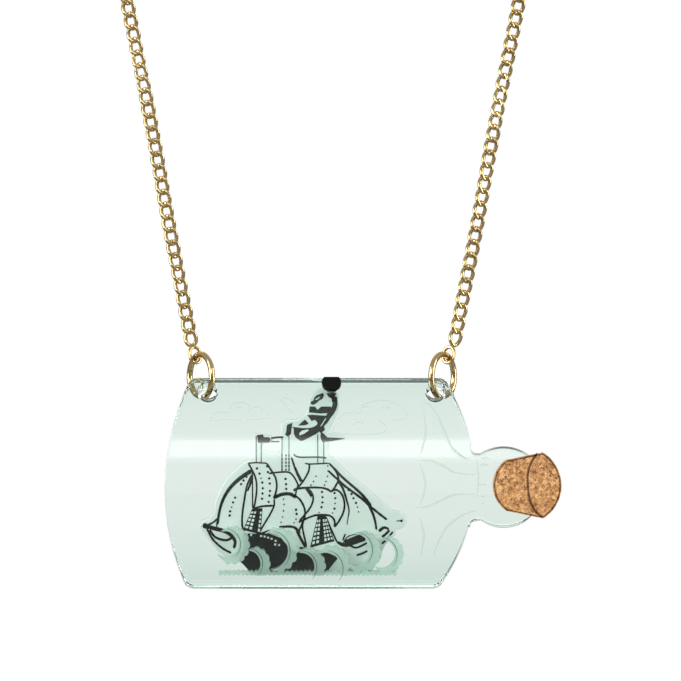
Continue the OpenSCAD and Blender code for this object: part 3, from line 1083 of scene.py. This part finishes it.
@dataclass
class Bottle:
    """The bottle: a sheet cut in outline, curved round an axis along X, and engraved."""

    axis_y: float = -10.595
    axis_z: float = -128.5
    curve_z: float = 1.5
    outer_r: float = 28.7
    thickness: float = 2.5
    top_angle: float = 43.5
    bottom_angle: float = 52.5
    corner_r: float = 2.2
    left_r: float = 53.5
    left_x: float = -31.3
    right_r: float = 38.4
    right_x: float = 30.1
    neck_w: float = 13.6
    lip_r: float = 8.2
    lip_x: float = 35.8
    lip_z: float = -0.5
    fillet: float = 1.2
    hole_r: float = 1.8
    holes: tuple[Point, ...] = ((-22.9, 37.03), (22.4, 37.03))
    stud_hole: Point3 = (1.7, 39.85, 1.05)
    polish: float = 0.3
    bands: int = 64

    @property
    def middle_r(self) -> float:
        """Radius of the middle of the sheet."""
        return self.outer_r - self.thickness / 2

    def flat(self, x: float, z: float) -> Vector:
        """The place on the flat sheet of a point on the curved outside, from its height in the pendant."""
        angle = math.asin(max(-1, min(1, (z - self.curve_z) / self.outer_r)))
        return Vector((x, angle * self.middle_r))

    def curved(self, point: Vector) -> Vector:
        """The place on the curved sheet of a point on the flat one, whose front is towards -Y."""
        angle, radius = point.z / self.middle_r, self.middle_r - point.y
        return Vector((point.x, self.axis_y - radius * math.cos(angle), self.axis_z + radius * math.sin(angle)))

    def on_face(self, x: float, z: float, height: float) -> Vector:
        """A point over the outside of the sheet, from its height in the pendant."""
        spot = self.flat(x, z)
        return self.curved(Vector((spot.x, -self.thickness / 2 - height, spot.y)))

    def end(self, at: Point, radius: float, side: int) -> list[Vector]:
        """One bowed end of the outline with its rounded corners.

        Args:
            at: the centre of the bow, as for the right end.
            radius: the bow's radius.
            side: 1 for the right end, -1 for the same mirrored about the centre.

        Returns:
            Its points, from the bottom up.
        """
        top = self.curve_z + self.outer_r * math.sin(math.radians(self.top_angle))
        bottom = self.curve_z - self.outer_r * math.sin(math.radians(self.bottom_angle))
        inner = radius - self.corner_r
        low, high = (math.degrees(math.asin((z - at[1]) / inner)) for z in
                     (bottom + self.corner_r, top - self.corner_r))

        def spot(angle: float) -> Point:
            """Centre of a corner."""
            t = math.radians(angle)
            return (at[0] + inner * math.cos(t), at[1] + inner * math.sin(t))

        points = (arc(spot(low), self.corner_r, -90, low, 8) + arc(at, radius, low, high, 40)[1:-1]
                  + arc(spot(high), self.corner_r, high, 90, 8))
        return [Vector((2 * at[0] - p.x if side < 0 else p.x, p.y)) for p in points]

    def outline(self) -> list[Vector]:
        """The bottle's outline, with its body, neck and lip.

        Returns:
            Its points, anticlockwise from the bottom of the right end.
        """
        centre = (self.right_x - self.right_r, 0.9)
        right = self.end(centre, self.right_r, 1)
        half = self.neck_w / 2
        reach = centre[0] + math.sqrt(self.right_r ** 2 - (half + self.fillet) ** 2)
        lip = math.degrees(math.asin(half / self.lip_r))
        below = [p for p in right if p.y < self.lip_z - half - self.fillet]
        above = [p for p in right if p.y > self.lip_z + half + self.fillet]
        low = arc((reach + self.fillet, self.lip_z - half - self.fillet), self.fillet, 180, 90, 6)
        high = arc((reach + self.fillet, self.lip_z + half + self.fillet), self.fillet, 270, 180, 6)
        rim = arc((self.lip_x, self.lip_z), self.lip_r, -180 + lip, 180 - lip, 72)
        left = self.end((self.left_x + self.left_r, -1), self.left_r, -1)
        return below + low + rim + high + above + left[::-1]

    def bores(self) -> list[Point3]:
        """The x, angle and radius of the ring holes and of the stud's hole."""
        return [*((x, angle, self.hole_r) for x, angle in self.holes), self.stud_hole]

    def sheet(self) -> bpy.types.Object:
        """The curved sheet with its holes.

        Returns:
            The piece, with the cut edges in material 1 and the holes in material 2, both a deeper mint as
            painted shade.
        """
        loops = [[self.flat(p.x, p.y) for p in self.outline()]]
        for x, angle, radius in self.bores():
            loops.append(arc((x, math.radians(angle) * self.middle_r), radius, 0, 350, 35))
        plate = cut_plate("bottle_sheet", loops, self.thickness, self.polish)
        top = math.radians(self.top_angle) * self.middle_r
        bottom = -math.radians(self.bottom_angle) * self.middle_r
        for k in range(1, self.bands):
            height = bottom + (top - bottom) * k / self.bands
            bmesh.ops.bisect_plane(plate, geom=[*plate.verts, *plate.edges, *plate.faces], dist=0.0001,
                                   plane_co=(0, 0, height), plane_no=(0, 0, 1))
        # Cut-edge faces near a hole take the bore's painted shade
        past = self.polish + 0.05
        for face in plate.faces:
            spot = face.calc_center_median()
            away = (math.hypot(spot.x - x, spot.z - math.radians(angle) * self.middle_r) - radius
                    for x, angle, radius in self.bores())
            if face.material_index and min(away) < past:
                face.material_index = 2
        piece = finish_mesh("bottle_sheet", plate, self.curved)
        return dress(piece, [BOTTLE, EDGE, BORE_SHADE], Body.PENDANT, ["bottle"])

    def clouds(self) -> list[Stroke]:
        """Engraved clouds over the ship, with their base lines.

        Returns:
            The lines.
        """
        lines = (
            ((-22.3, 12.7), (-21.8, 13.8), (-20.5, 14.4), (-18.7, 14.3), (-18.4, 15.4), (-17.4, 16.1),
             (-16.1, 16.3), (-14.9, 15.9), (-14.4, 15)),
            ((-14.9, 14.4), (-13.7, 15.3), (-12.5, 15.2), (-12, 14.5), (-10.9, 14.1), (-10.5, 13.3)),
            ((-22.3, 12.7), (-19, 12.9), (-16, 12.8)), ((-15, 12.9), (-12.6, 13), (-10.5, 13.3)),
            ((-17.4, 15), (-16.8, 15.4), (-16, 15.3)),
            ((-8.8, 16.9), (-7.7, 16.2), (-6.8, 14.9), (-5.6, 14.1)), ((-8, 17.2), (-6.6, 16.9), (-5.4, 16)),
            ((3.1, 12.8), (4.1, 14), (5.9, 14.4), (7.2, 14.2), (7.9, 15.3), (9.1, 15.4)),
            ((7.6, 15.6), (9.6, 16.4), (12.2, 16.7), (14.4, 16.1), (15.6, 15.1), (16.6, 14.3), (16.6, 13.5),
             (15.6, 12.9), (13.5, 12.9)),
            ((11.4, 15), (12.3, 15.4), (13.3, 15.2)),
            ((5.9, 11.9), (7.1, 12.5), (8.3, 12)), ((10.9, 12.9), (12.1, 12), (12.5, 11), (11.7, 10.3),
             (8.3, 10), (4.6, 10.1), (1.9, 10.4)),
            ((1.9, 10.4), (2.3, 11.6), (3.1, 12.2)))
        return [Stroke(points, 0.19, 0.19) for points in lines]

    def shoulder(self) -> list[Stroke]:
        """Engraved folds of the shoulder, and the rim and ticks of the neck.

        Returns:
            The lines.
        """
        folds = (
            ((19.7, 16.1), (21.1, 15.9), (22.8, 13.6), (24.7, 9.2), (26.1, 6.7), (29.2, 4.9)),
            ((25.6, 7.5), (27, 6.1), (28.6, 5)),
            ((20, 15), (20.4, 11.1), (20, 8.4), (19.3, 6.1)),
            ((18.9, 4.8), (21.4, 4.8), (24.2, 3.6), (26.1, 2.5), (30.3, 2)),
            ((19.2, 4.5), (20.3, 0), (19.2, -4.1)),
            ((18.1, -4.5), (20.6, -4.3), (23.6, -3), (26.1, -1.9), (30.3, -1.8)),
            ((19.2, -6.4), (20, -10), (19.5, -14.4)),
            ((22, -14.1), (23.1, -11.1), (24.7, -8.3), (27.5, -6.1), (30.3, -5)))
        marks = (
            ((30.5, 5), (30.8, 1.2), (30.6, -2.5)), ((31.3, 5.2), (32.2, 5.4), (33.1, 5.2)),
            ((31, 3.9), (32, 4.1), (32.8, 3.9)), ((30.8, 0), (31.7, 0.1), (32.5, 0)),
            ((31.1, -2.2), (32.2, -2.2)), ((31.4, -3.6), (32, -3.6)))
        return ([Stroke(points, 0.1, 0.1, 0.4) for points in folds]
                + [Stroke(points, 0.14, 0.14, 0.16) for points in marks])

    def engraving(self) -> bpy.types.Object:
        """The clouds and the shoulder, engraved on the outside.

        Returns:
            The piece.
        """
        sketch = Sketch(self.on_face, 0.015)
        sketch.strokes(self.clouds())
        sketch.strokes(self.shoulder())
        piece = sketch.build("bottle_engraving")
        return dress(piece, [FROST], Body.PENDANT)

    def build(self) -> None:
        """The sheet and its engraving."""
        self.sheet()
        self.engraving()


@dataclass
class Ship:
    """The ship plate with its inked drawing, and the wave plate in front of it."""

    front_y: float = 1.905
    base_z: float = -17.661
    lean: float = 6.075
    wave_t: float = 1.5
    ship_t: float = 2.0
    polish: float = 0.3
    stretch: float = 1.035
    drop: float = -0.28
    groove_gap: float = 0.42
    curls: tuple[Point3, ...] = (
        (-19.5, -11.8, 2.6), (-15, -15.5, 2.5), (-10.5, -13.1, 3.5), (-4.35, -16.1, 2.65),
        (0.6, -16.4, 3), (6.4, -12.9, 3.1), (11.6, -13.7, 2.8))

    def place(self, x: float, depth: float, z: float) -> Vector:
        """A point of the leaning plates.

        Args:
            x: its place along the bottle.
            depth: its depth behind the front of the waves.
            z: its height up the plates.

        Returns:
            The point.
        """
        t, up = math.radians(self.lean), z - self.base_z
        return Vector((x, PENDANT_Y + self.front_y + depth * math.cos(t) - up * math.sin(t),
                       PENDANT_Z + self.base_z + depth * math.sin(t) + up * math.cos(t)))

    def on_ship(self, x: float, z: float, height: float) -> Vector:
        """A point over the face of the ship plate."""
        return self.place(x, self.wave_t - height, self.stretch * z + self.drop)

    def on_waves(self, x: float, z: float, height: float) -> Vector:
        """A point over the face of the wave plate."""
        return self.place(x, -height, z)

    def outline(self) -> list[Vector]:
        """The ship plate's outline: curves between its corners.

        Returns:
            Its points, anticlockwise.
        """
        curved = (
            ((-17, -14.6), (-20.4, -13.2), (-22.8, -10.6), (-24.6, -8.4), (-24.5, -7.2), (-22.8, -6.6)),
            ((-21.9, -5.3), (-21.4, -2.7), (-19.7, 0.6), (-17.6, 2.8), (-15.3, 4.5)),
            ((-11.8, 6.5), (-10.2, 6.1), (-8.6, 6.3)),
            ((-5.6, 12.2), (-3.7, 13.2), (-2.9, 14.5), (-2.8, 16.2), (-1.3, 17.8), (0.8, 17.95), (2.7, 17.5),
             (3.3, 15.4), (2.7, 13.2), (1.5, 10.9)),
            ((2.2, 4.9), (4.7, 2.5), (9.4, -1.3), (14, -5.1)),
            ((15.6, -5.3), (16.8, -6.7), (16, -8.2), (14.6, -8.6)),
            ((14.4, -9.8), (12.4, -11.6), (11.4, -14.2), (9.6, -16.2)))
        stern, spanker, gap, pennant, stay, bow, prow = (smooth(points, 6) for points in curved)
        mizzen = ((-13.8, 4.8), (-13.8, 9.7), (-10.2, 9.2), (-10.2, 8), (-12.1, 7.8), (-12.1, 6.8))
        main = ((-8.4, 6.6), (-8.3, 11.7), (-7.2, 12.3))
        fore = ((1.2, 9.7), (4.4, 9.1), (4.4, 8.6), (1.2, 8.1), (1.2, 5.6))
        keel = ((9, -16.8), (-13, -16.8))
        made = [*stern, *spanker, *mizzen, *gap, *main, *pennant, *fore, *stay, *bow, *prow, *keel]
        return [Vector((p[0], self.stretch * p[1] + self.drop)) for p in made][::-1]

    def plate(self) -> bpy.types.Object:
        """The ship plate.

        Returns:
            The piece.
        """
        plate = cut_plate("ship_cutout", [self.outline()], self.ship_t, self.polish)
        piece = finish_mesh("ship_cutout", plate,
                            lambda p: self.place(p.x, self.wave_t + self.ship_t / 2 + p.y, p.z))
        # The cut edges take the darker rim colour, painted shade along the outline
        return dress(piece, [SHIP, RIM_SHADE], Body.PENDANT, ["ship_plate"])

    def build(self, frame: dict) -> None:
        """Both plates and what is drawn on them.

        Args:
            frame: the loaded frame.
        """
        self.plate()
        dress_node(frame, "wave_plate", WAVES)
        drawing = ShipDrawing(self.on_ship)
        dress(drawing.ink(), [INK], Body.PENDANT)
        dress(drawing.openings(), [SHIP], Body.PENDANT)
        dress(self.wave_lines(), [GROOVE], Body.PENDANT)

    def wave_lines(self) -> bpy.types.Object:
        """The line engraved round each curl's opening.

        Returns:
            The piece.
        """
        sketch = Sketch(self.on_waves, 0.015)
        for x, z, r in self.curls:
            groove = arc((x, z), r + self.groove_gap, -46, 84, 14)
            sketch.stroke(Stroke(tuple(tuple(p) for p in groove), 0.06, 0.06, 0.14))
        return sketch.build("wave_engraving")


@dataclass
class ShipDrawing:
    """The inked drawing of the ship: sails, masts, ratlines, hull and pennant."""

    placing: Placing

    def hull(self, sketch: Sketch) -> None:
        """The hull, the stern gallery and the head of the ship.

        Args:
            sketch: takes the black shapes and lines.
        """
        sketch.fill(((-15.8, -9.3), (-13, -9.4), (-10.9, -9.3), (-8.4, -10.2), (-7.2, -11.5), (-6, -12.5),
                     (-4.4, -12.9), (-1, -12.9), (1, -13), (3.1, -13.8), (0.4, -16.9), (-14.2, -16.9),
                     (-16.7, -14.4), (-16, -12.5)))
        sketch.fill(arc((-23.6, -7.9), 0.55, 0, 330, 11))
        sketch.strokes((
            Stroke(((-23.2, -8), (-21.1, -8.5), (-19.5, -9), (-18.3, -9.8), (-17.6, -10.9), (-17.9, -12.1)),
                   0.62, 0.4),
            Stroke(((-23.3, -8.3), (-22.1, -10.4), (-20.3, -12), (-18.4, -13)), 0.32),
            Stroke(((-22.7, -8.6), (-21.6, -10), (-19.5, -10.6), (-18.2, -10.1)), 0.34),
            Stroke(((-21.1, -6.5), (-22, -7.2), (-23.2, -7.8)), 0.28),
            Stroke(((-21.1, -6.9), (-21.3, -7.6), (-21.2, -8.1)), 0.24, 0.15),
            Stroke(((4, -10.6), (4.2, -10), (4.5, -9.4)), 0.25),
            Stroke(((4, -11.2), (5, -9.9), (7.2, -9.3)), 0.16),
            Stroke(((4.4, -11.3), (6.4, -10.6), (8.4, -9.9)), 1, 1.2),
            Stroke(((5.3, -11.5), (6.7, -12), (8.8, -11.1)), 0.3),
            Stroke(((6.7, -13.4), (7.8, -13.1), (8.9, -12.6)), 0.3),
            Stroke(((8.1, -8.8), (9, -9.5), (9.7, -10.6)), 0.16),
            Stroke(((3, -10.9), (3.8, -11.4), (5, -11.5)), 0.35, 0.6),
            Stroke(((11.2, -8.9), (12.2, -8.2), (13.2, -8.5)), 0.5, 0.3),
            Stroke(((11.8, -10), (12.6, -9.4), (13.3, -8.7)), 0.36),
            Stroke(((11.8, -11.3), (13, -10.1), (14, -9)), 0.28),
            Stroke(((14.7, -6.95), (15.7, -6.9)), 0.22, curved=False)))
        sketch.dots(((15.7, -6.9),), 0.2)

    def sails(self, sketch: Sketch) -> None:
        """The edges of the sails.

        Args:
            sketch: takes the black shapes and lines.
        """
        sketch.strokes((
            # spanker
            Stroke(((-14.3, 2.7), (-16.6, 1.2), (-18.3, -0.3), (-19.5, -1.9), (-20.3, -3.6), (-20.8, -5.4),
                    (-21.1, -7.6)), 0.62, 0.34),
            Stroke(((-14.2, 1.9), (-15.2, -0.2), (-15.8, -3.2), (-16.2, -6.2), (-16.1, -8.2),
                    (-15.6, -8.7)), 0.3),
            # mizzen topsail
            Stroke(((-14.9, 4), (-14.3, 3), (-13.6, 1.6), (-13.3, 0.2), (-13.3, -1.4), (-13.6, -3.4),
                    (-13.9, -4.6)), 0.28),
            Stroke(((-11.3, 4.1), (-10.2, 2.5), (-9.5, 1.3), (-9.25, -0.3), (-9.5, -1.7), (-9.9, -2.6)), 0.3),
            Stroke(((-13.9, -4.6), (-12.3, -4.15), (-9.9, -4)), 0.3),
            Stroke(((-15, 4.1), (-13.2, 4.2), (-11.2, 4.1)), 0.2),
            # main topsail
            Stroke(((-10.8, 2.1), (-9.6, 2.3), (-7, 2.4), (-5.9, 1.6), (-5.1, 0.2), (-5, -0.5)), 0.26),
            Stroke(((-9.9, -2.6), (-8.7, -2), (-7.5, -1.75), (-6.4, -1.85), (-5.5, -2.4)), 0.5),
            # main course
            Stroke(((-5.7, -2), (-4.6, -2.9), (-3.8, -4.3), (-3.6, -5.7), (-4.1, -7.3), (-4.9, -9)), 0.3),
            Stroke(((-9.8, -2.8), (-9.8, -4), (-10.5, -5.5), (-11.7, -7.4), (-12.7, -9), (-13.3, -9.9)), 0.28),
            Stroke(((-13.2, -9.7), (-12, -9.2), (-10.6, -8.7)), 0.3),
            Stroke(((-8.8, -8.1), (-7.3, -8), (-5.9, -8.1), (-5.1, -8.7), (-4.7, -9.4)), 0.34, 0.45),
            # fore topsail
            Stroke(((-3.6, 4.1), (-2.6, 3.95), (1.2, 4.1)), 0.22),
            Stroke(((-2.7, 4), (-2.9, 2.5), (-4.1, 0.5), (-5.5, -1)), 0.28),
            Stroke(((1.2, 4.1), (2.5, 2.7), (3.1, 1.1), (2.5, -0.3), (1.7, -1.4)), 0.3),
            Stroke(((-5.9, -1.15), (-5.1, -0.75), (-3.3, -0.6), (-1.6, -0.55), (0, -0.65), (0.9, -0.9),
                    (1.7, -1.4)), 0.36, 0.3),
            # fore course
            Stroke(((1.6, -1.3), (2.3, -1), (3.1, -1.2), (3.9, -2.1), (4.3, -3.6), (4.1, -5.2), (3.3, -6.8),
                    (2.3, -8.1)), 0.3),
            Stroke(((2.3, -8.1), (2.3, -6.9), (1.5, -6), (0, -5.8), (-1.7, -5.9), (-3.6, -6.6), (-4.9, -7.2)),
                   0.3),
            Stroke(((-2.6, -1), (-2, -2.2), (-2.1, -3.4), (-2.7, -4.6), (-3.7, -5.8), (-4.7, -6.9)), 0.28),
            # jibs
            Stroke(((3.1, 0.6), (4, -0.8), (4.8, -3.2), (5.2, -4.9), (5, -6.4), (4.8, -7.7)), 0.4, 0.12),
            Stroke(((1, 2.7), (2.7, 1.2), (4.7, -0.5), (6.7, -1.9), (8.3, -3.1), (9.8, -4.5)), 0.3, 0.4),
            Stroke(((9.2, -4), (10, -5.6), (10.5, -7.3), (10.7, -8.6)), 0.42, 0.3),
            Stroke(((9.8, -4.4), (11.3, -5.6), (12.8, -6.7)), 0.34),
            Stroke(((2.2, 3.2), (3.9, 1.4), (7.7, -1.8), (9.6, -4.1)), 0.3, 0.45)))
        sketch.fill(((-14.2, 1.8), (-15.3, -1.3), (-14.9, -1.2), (-14.1, 0.5)))
        sketch.fill(((-3.6, -0.8), (-2.7, -0.8), (-2.1, -1.9), (-2.4, -2.5)))

    def stitching(self, sketch: Sketch) -> None:
        """Dotted seams down the sails.

        Args:
            sketch: takes the black shapes and lines.
        """
        sketch.dots((
            (-14.6, 2.2), (-15.3, 1.5), (-15.9, 0.8), (-16.4, 0.1), (-17.6, -2.5), (-18, -3.4),
            (-18.6, -5.1), (-18.7, -5.9), (-13.2, 3.1), (-12.7, 2.1), (-12.15, 0.4), (-12.05, -0.7),
            (-12.1, -1.7), (-12.2, -2.7), (-11.2, 3.5), (-11, 2.4), (-10.75, 1.2), (-10.65, 0.2),
            (-10.6, -1.2), (-10.7, -2.1), (-10.9, -3.3), (-7.5, 1.1), (-7.4, 0.1), (-7.35, -0.8),
            (-5.4, -4.8), (-5.3, -5.6), (4.35, -0.3), (5.1, -1), (5.7, -1.8), (6.1, -2.6), (6.6, -3.5),
            (-0.2, -1.4), (-0.1, -2.4), (-0.1, -3.4), (-0.3, -4.3), (2.3, -1.6), (2.45, -2.6), (2.3, -4.6)),
            0.19)
        sketch.dots((
            (-18.3, -4.3), (-12.4, 1.2), (-1.4, 1.6), (-1.9, 0.6), (-2.4, -0.1), (0.95, 3.6), (1, 2.6),
            (0.9, 1.6), (0.6, 0.6), (0.3, -0.1), (-7.9, -2.8), (-7.8, -3.8), (-7.9, -5), (-8.1, -6.2),
            (-8.4, -7.2), (-5.4, -6.6), (-5.8, -7.3), (6.9, -4.3), (7.1, -5.2), (-0.8, -5.3), (1.9, -5.4),
            (2.4, -3.6)), 0.13)

    def masts(self, sketch: Sketch) -> None:
        """Masts, flags and stays.

        Args:
            sketch: takes the black shapes and lines.
        """
        uprights = ((-14.1, 2.4, -4.5, 0.36), (-13.35, 9.3, 4.3, 0.24), (-12.35, 8.6, 4.3, 0.24),
                    (-8.2, 9.2, 2.6, 0.2), (-6.8, 9.2, 2.6, 0.2), (-1.05, 9.6, 4.2, 0.26),
                    (0.15, 9.6, 4.2, 0.26))
        for x, top, bottom, width in uprights:
            sketch.stroke(Stroke(((x, top), (x, bottom)), width, curved=False))
        sketch.strokes((
            Stroke(((-6.3, 5.2), (-5.4, 2.6), (-4.4, 0.5)), 0.3),
            Stroke(((-5.6, 3.4), (-4.9, 1.9), (-4.1, 0.6)), 0.26),
            Stroke(((-4.9, 0.1), (-5.3, -1), (-5.6, -2.6)), 0.24),
            Stroke(((-3.9, -6.9), (-4.1, -8.3), (-3.3, -11.8)), 0.28),
            Stroke(((-5.3, -8.7), (-4.4, -10.4), (-3.5, -11.9)), 0.42),
            Stroke(((-4.7, -12), (-3.9, -12.1), (-3.2, -11.9)), 0.3),
            Stroke(((0.6, -6.2), (2, -9.3), (2.9, -11), (3.9, -11.6)), 0.26)))
        for x in (-8.2, -7.4, -6.8):
            for k in range(5):
                top = 5.8 - 0.68 * k
                sketch.stroke(Stroke(((x, top), (x, top - 0.42)), 0.36, curved=False))
        sketch.fill(((-13.2, 9.5), (-12, 9.6), (-11.8, 9.05), (-10.7, 9.05), (-10.4, 8.5), (-10.7, 8),
                     (-13, 8)))
        sketch.fill(((-0.5, 9.7), (0, 9.9), (0.9, 9), (2.5, 8.95), (4.4, 8.8), (2.5, 8.45), (0.9, 8.2),
                     (-0.1, 8.05), (-0.5, 9)))
        sketch.strokes((
            Stroke(((-10.4, 8.85), (-9.2, 9), (-7.9, 9.05)), 0.28),
            Stroke(((-10.4, 8.2), (-9.6, 8.2), (-8.7, 8.2)), 0.2),
            Stroke(((-5.9, 5.85), (-4.8, 5.25), (-1.2, 5.25), (0.7, 5.1)), 0.24)))

    def pennant(self, sketch: Sketch) -> None:
        """The long striped pennant, curling up from the main mast.

        Args:
            sketch: takes the black shapes and lines.
        """
        for shape in (
            ((-7.4, 9.9), (-7.2, 11.4), (-6.1, 11.8), (-6.2, 11.1), (-6.4, 9.7), (-7, 9.1), (-7.6, 9.6)),
            ((-6.1, 11), (-5.2, 10.9), (-3.9, 10.75), (-2.5, 10.8), (-1.6, 11.1), (-0.7, 11.9),
             (-0.2, 12.8), (0.7, 13.1), (0.4, 11.9), (0.2, 11.1), (0.4, 10.5), (-0.35, 9.7), (-0.9, 10.2),
             (-1.6, 9.55), (-2.85, 8.9), (-4.4, 8.3), (-5.5, 9), (-5.9, 9.9)),
            ((-5, 11.25), (-3.6, 12.4), (-2.8, 11.6), (-3.6, 11.3)),
            ((-3.2, 13.2), (-2.3, 13.3), (0.9, 13.1), (0.4, 12.1), (-0.6, 11), (-1.4, 10.7), (-1.1, 11.8),
             (-1.6, 12.3), (-2.3, 12.1), (-2.8, 12.8)),
            ((-2.7, 14.8), (-1.6, 14.8), (-1.1, 14.2), (-0.3, 14.8), (0.9, 14.8), (1.7, 14.8), (1.6, 13.6),
             (-0.4, 13.5), (-2.8, 13.7)),
            ((0, 17.3), (0.2, 16.9), (-0.1, 16.2), (-0.8, 15.9), (-1.3, 15.4), (-1.95, 15.1), (-2.5, 15.3),
             (-2.4, 15.7), (-1.95, 15.9), (-1.7, 16.5), (-1.3, 16.85), (-0.6, 17.1))):
            sketch.fill(shape)
        sketch.strokes((
            Stroke(((2.2, 16.6), (2.35, 15.3), (2, 14.2), (1.2, 13.1), (0.2, 11.7)), 0.85, 0.75),
            Stroke(((0.6, 12.2), (-0.8, 10.5), (-2.4, 9.5), (-4.5, 8.5)), 0.6, 0.4)))

    def shrouds(self, ink: Sketch | None, light: Sketch | None, corners: Sequence[Point],
                columns: Sequence[Point], rows: int) -> None:
        """One set of ratlines, dark with light openings.

        Args:
            ink: takes the dark shape, if given.
            light: takes the openings, if given.
            corners: top left, top right, bottom right and bottom left.
            columns: start and end of each column of openings, as shares of the width.
            rows: openings in each column.
        """
        if ink:
            ink.fill(corners)
        if light:
            a, b, c, d = (Vector(p) for p in corners)
            for start, end in columns:
                for k in range(rows):
                    top, bottom = 0.12 + 0.84 * k / rows, 0.12 + 0.84 * (k + 0.62) / rows
                    cell = [a.lerp(b, u).lerp(d.lerp(c, u), v) for u, v in
                            ((start, top), (end, top), (end, bottom), (start, bottom))]
                    light.fill(cell, 0.03)

    def both_shrouds(self, ink: Sketch | None, light: Sketch | None) -> None:
        """The ratlines of the mizzen and fore masts.

        Args:
            ink: takes the dark shapes, if given.
            light: takes the openings, if given.
        """
        self.shrouds(ink, light, ((-14.2, -4.6), (-12.1, -4.5), (-12.5, -9.6), (-16, -8.6)),
                     ((0.05, 0.22), (0.3, 0.46), (0.82, 0.94)), 5)
        self.shrouds(ink, light, ((-1.1, -6), (0.6, -6), (2.3, -10.8), (-2.6, -12)),
                     ((0.05, 0.17), (0.23, 0.35), (0.6, 0.7), (0.75, 0.84), (0.89, 0.96)), 6)

    def ink(self) -> bpy.types.Object:
        """Everything in black.

        Returns:
            The piece.
        """
        sketch = Sketch(self.placing, weight=1.35)
        self.hull(sketch)
        self.sails(sketch)
        self.stitching(sketch)
        self.masts(sketch)
        self.pennant(sketch)
        self.both_shrouds(sketch, None)
        return sketch.build("ship_ink")

    def openings(self) -> bpy.types.Object:
        """The bare spots inside the black: windows, ratline openings and pennant folds.

        Returns:
            The piece.
        """
        sketch, lift = Sketch(self.placing), 0.03
        self.both_shrouds(None, sketch)
        for x, z in ((-15.3, -9.4), (-14.4, -9.6), (-12.4, -9.8), (-11.7, -9.9), (-11, -10.1), (-10.3, -10.3),
                     (-9.5, -10.7), (-9.6, -11.4), (-8.8, -11.5)):
            sketch.fill([(x + 0.19 * u, z + 0.17 * v) for u, v in ((-1, -1), (1, -1), (1, 1), (-1, 1))], lift)
        for points in (
            ((-4.8, 9.7), (-4.2, 10.3), (-3, 10.55), (-2.85, 10.3), (-3.7, 9.75), (-4.65, 9.4)),
            ((-1.6, 16.1), (-1, 16.45), (-0.6, 16.7), (-0.8, 16.3), (-1.3, 16.05)),
            ((-6.1, 10.7), (-5.9, 10.75), (-5.8, 9.9), (-6, 9.7)),
            ((-0.5, 11.2), (0.5, 12.6), (0.65, 12.55), (-0.35, 11.1)),
            ((1.55, 14.7), (1.9, 15.6), (2, 15.6), (1.7, 14.6))):
            sketch.fill(points, lift)
        return sketch.build("ship_openings")


@dataclass
class CorkStopper:
    """The cork plate over the bottle's neck, with the line of its round top engraved."""

    back_y: float = -9.295
    thickness: float = 3.0
    left_x: float = 33.6
    right_x: float = 47.1
    narrow: float = 10.0
    wide: float = 13.0
    bow: float = 2.6
    wide_bow: float = 3.6
    mid_z: float = 0.0
    bevel: float = 0.22

    def outline(self) -> list[Vector]:
        """The stopper's outline.

        Returns:
            Its points, anticlockwise from the bottom right.
        """
        ends = []
        for height, bow, x, side in ((self.wide, self.wide_bow, self.right_x, 1),
                                     (self.narrow, self.bow, self.left_x, -1)):
            radius = (height * height / 4 + bow * bow) / (2 * bow)
            half = math.degrees(math.asin(height / 2 / radius))
            start = 0 if side > 0 else 180
            ends += arc((x - side * radius, self.mid_z), radius, start - half, start + half, 32)
        return ends

    def on_face(self, x: float, z: float, height: float) -> Vector:
        """A point over the front of the cork."""
        return Vector((x, PENDANT_Y + self.back_y - self.thickness - height, PENDANT_Z + z))

    def build(self) -> bpy.types.Object:
        """The cork, and its scorched lines.

        Returns:
            The cork.
        """
        plate = cut_plate("cork_plate", [self.outline()], self.thickness, self.bevel)
        piece = finish_mesh("cork_plate", plate, lambda p: Vector((
            p.x, PENDANT_Y + self.back_y - self.thickness / 2 + p.y, PENDANT_Z + p.z)))
        dress(piece, [CORK, BURNT], Body.PENDANT, ["cork_stopper"])
        sketch = Sketch(self.on_face, 0.02)
        rim = ((42.3, 6.4), (41.1, 4.5), (40.4, 1.8), (40.7, -2.2), (41.8, -4.9), (43.4, -6.3))
        sketch.stroke(Stroke(rim, 0.42))
        loop = self.outline()
        middle = sum(loop, Vector((0, 0))) / len(loop)
        scorch = [tuple(middle + (p - middle) * (1 - 0.3 / (p - middle).length)) for p in [*loop, loop[0]]]
        sketch.stroke(Stroke(tuple(scorch), 0.26, curved=False))
        dress(sketch.build("cork_line"), [BURNT], Body.PENDANT)
        return piece


def main() -> None:
    """Builds the necklace piece by piece."""
    logging.basicConfig(level=logging.INFO, format="%(name)s: %(message)s")
    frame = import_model()
    studio = Studio()
    studio.camera()
    for chain in (CurbChain("chain_left", -1, (-8.4, -6.5, 65)),
                  CurbChain("chain_right", 1, (-8.1, -6.5, 67))):
        log.info("%s: %d faces", chain.name, len(chain.build().data.polygons))
    studio.build()
    rings = ((HangingRing("ring_left", -1, Body.LEFT_RING, (-24.43, PENDANT_Y, -108.568)), "end_link_left"),
             (HangingRing("ring_right", 1, Body.RIGHT_RING, (23.93, PENDANT_Y, -108.568)), "end_link_right"))
    for ring, link in rings:
        ring.ring()
        ring.end_link(link)
        log.info("%s and %s", ring.name, link)
    Clasp().build(frame)
    log.info("clasp")
    Bottle().build()
    log.info("bottle")
    Ship().build(frame)
    log.info("ship and waves")
    dress_node(frame, "top_stud", STUD)
    log.info("stud")
    CorkStopper().build()
    log.info("cork")
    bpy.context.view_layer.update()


if __name__ == "__main__":
    main()
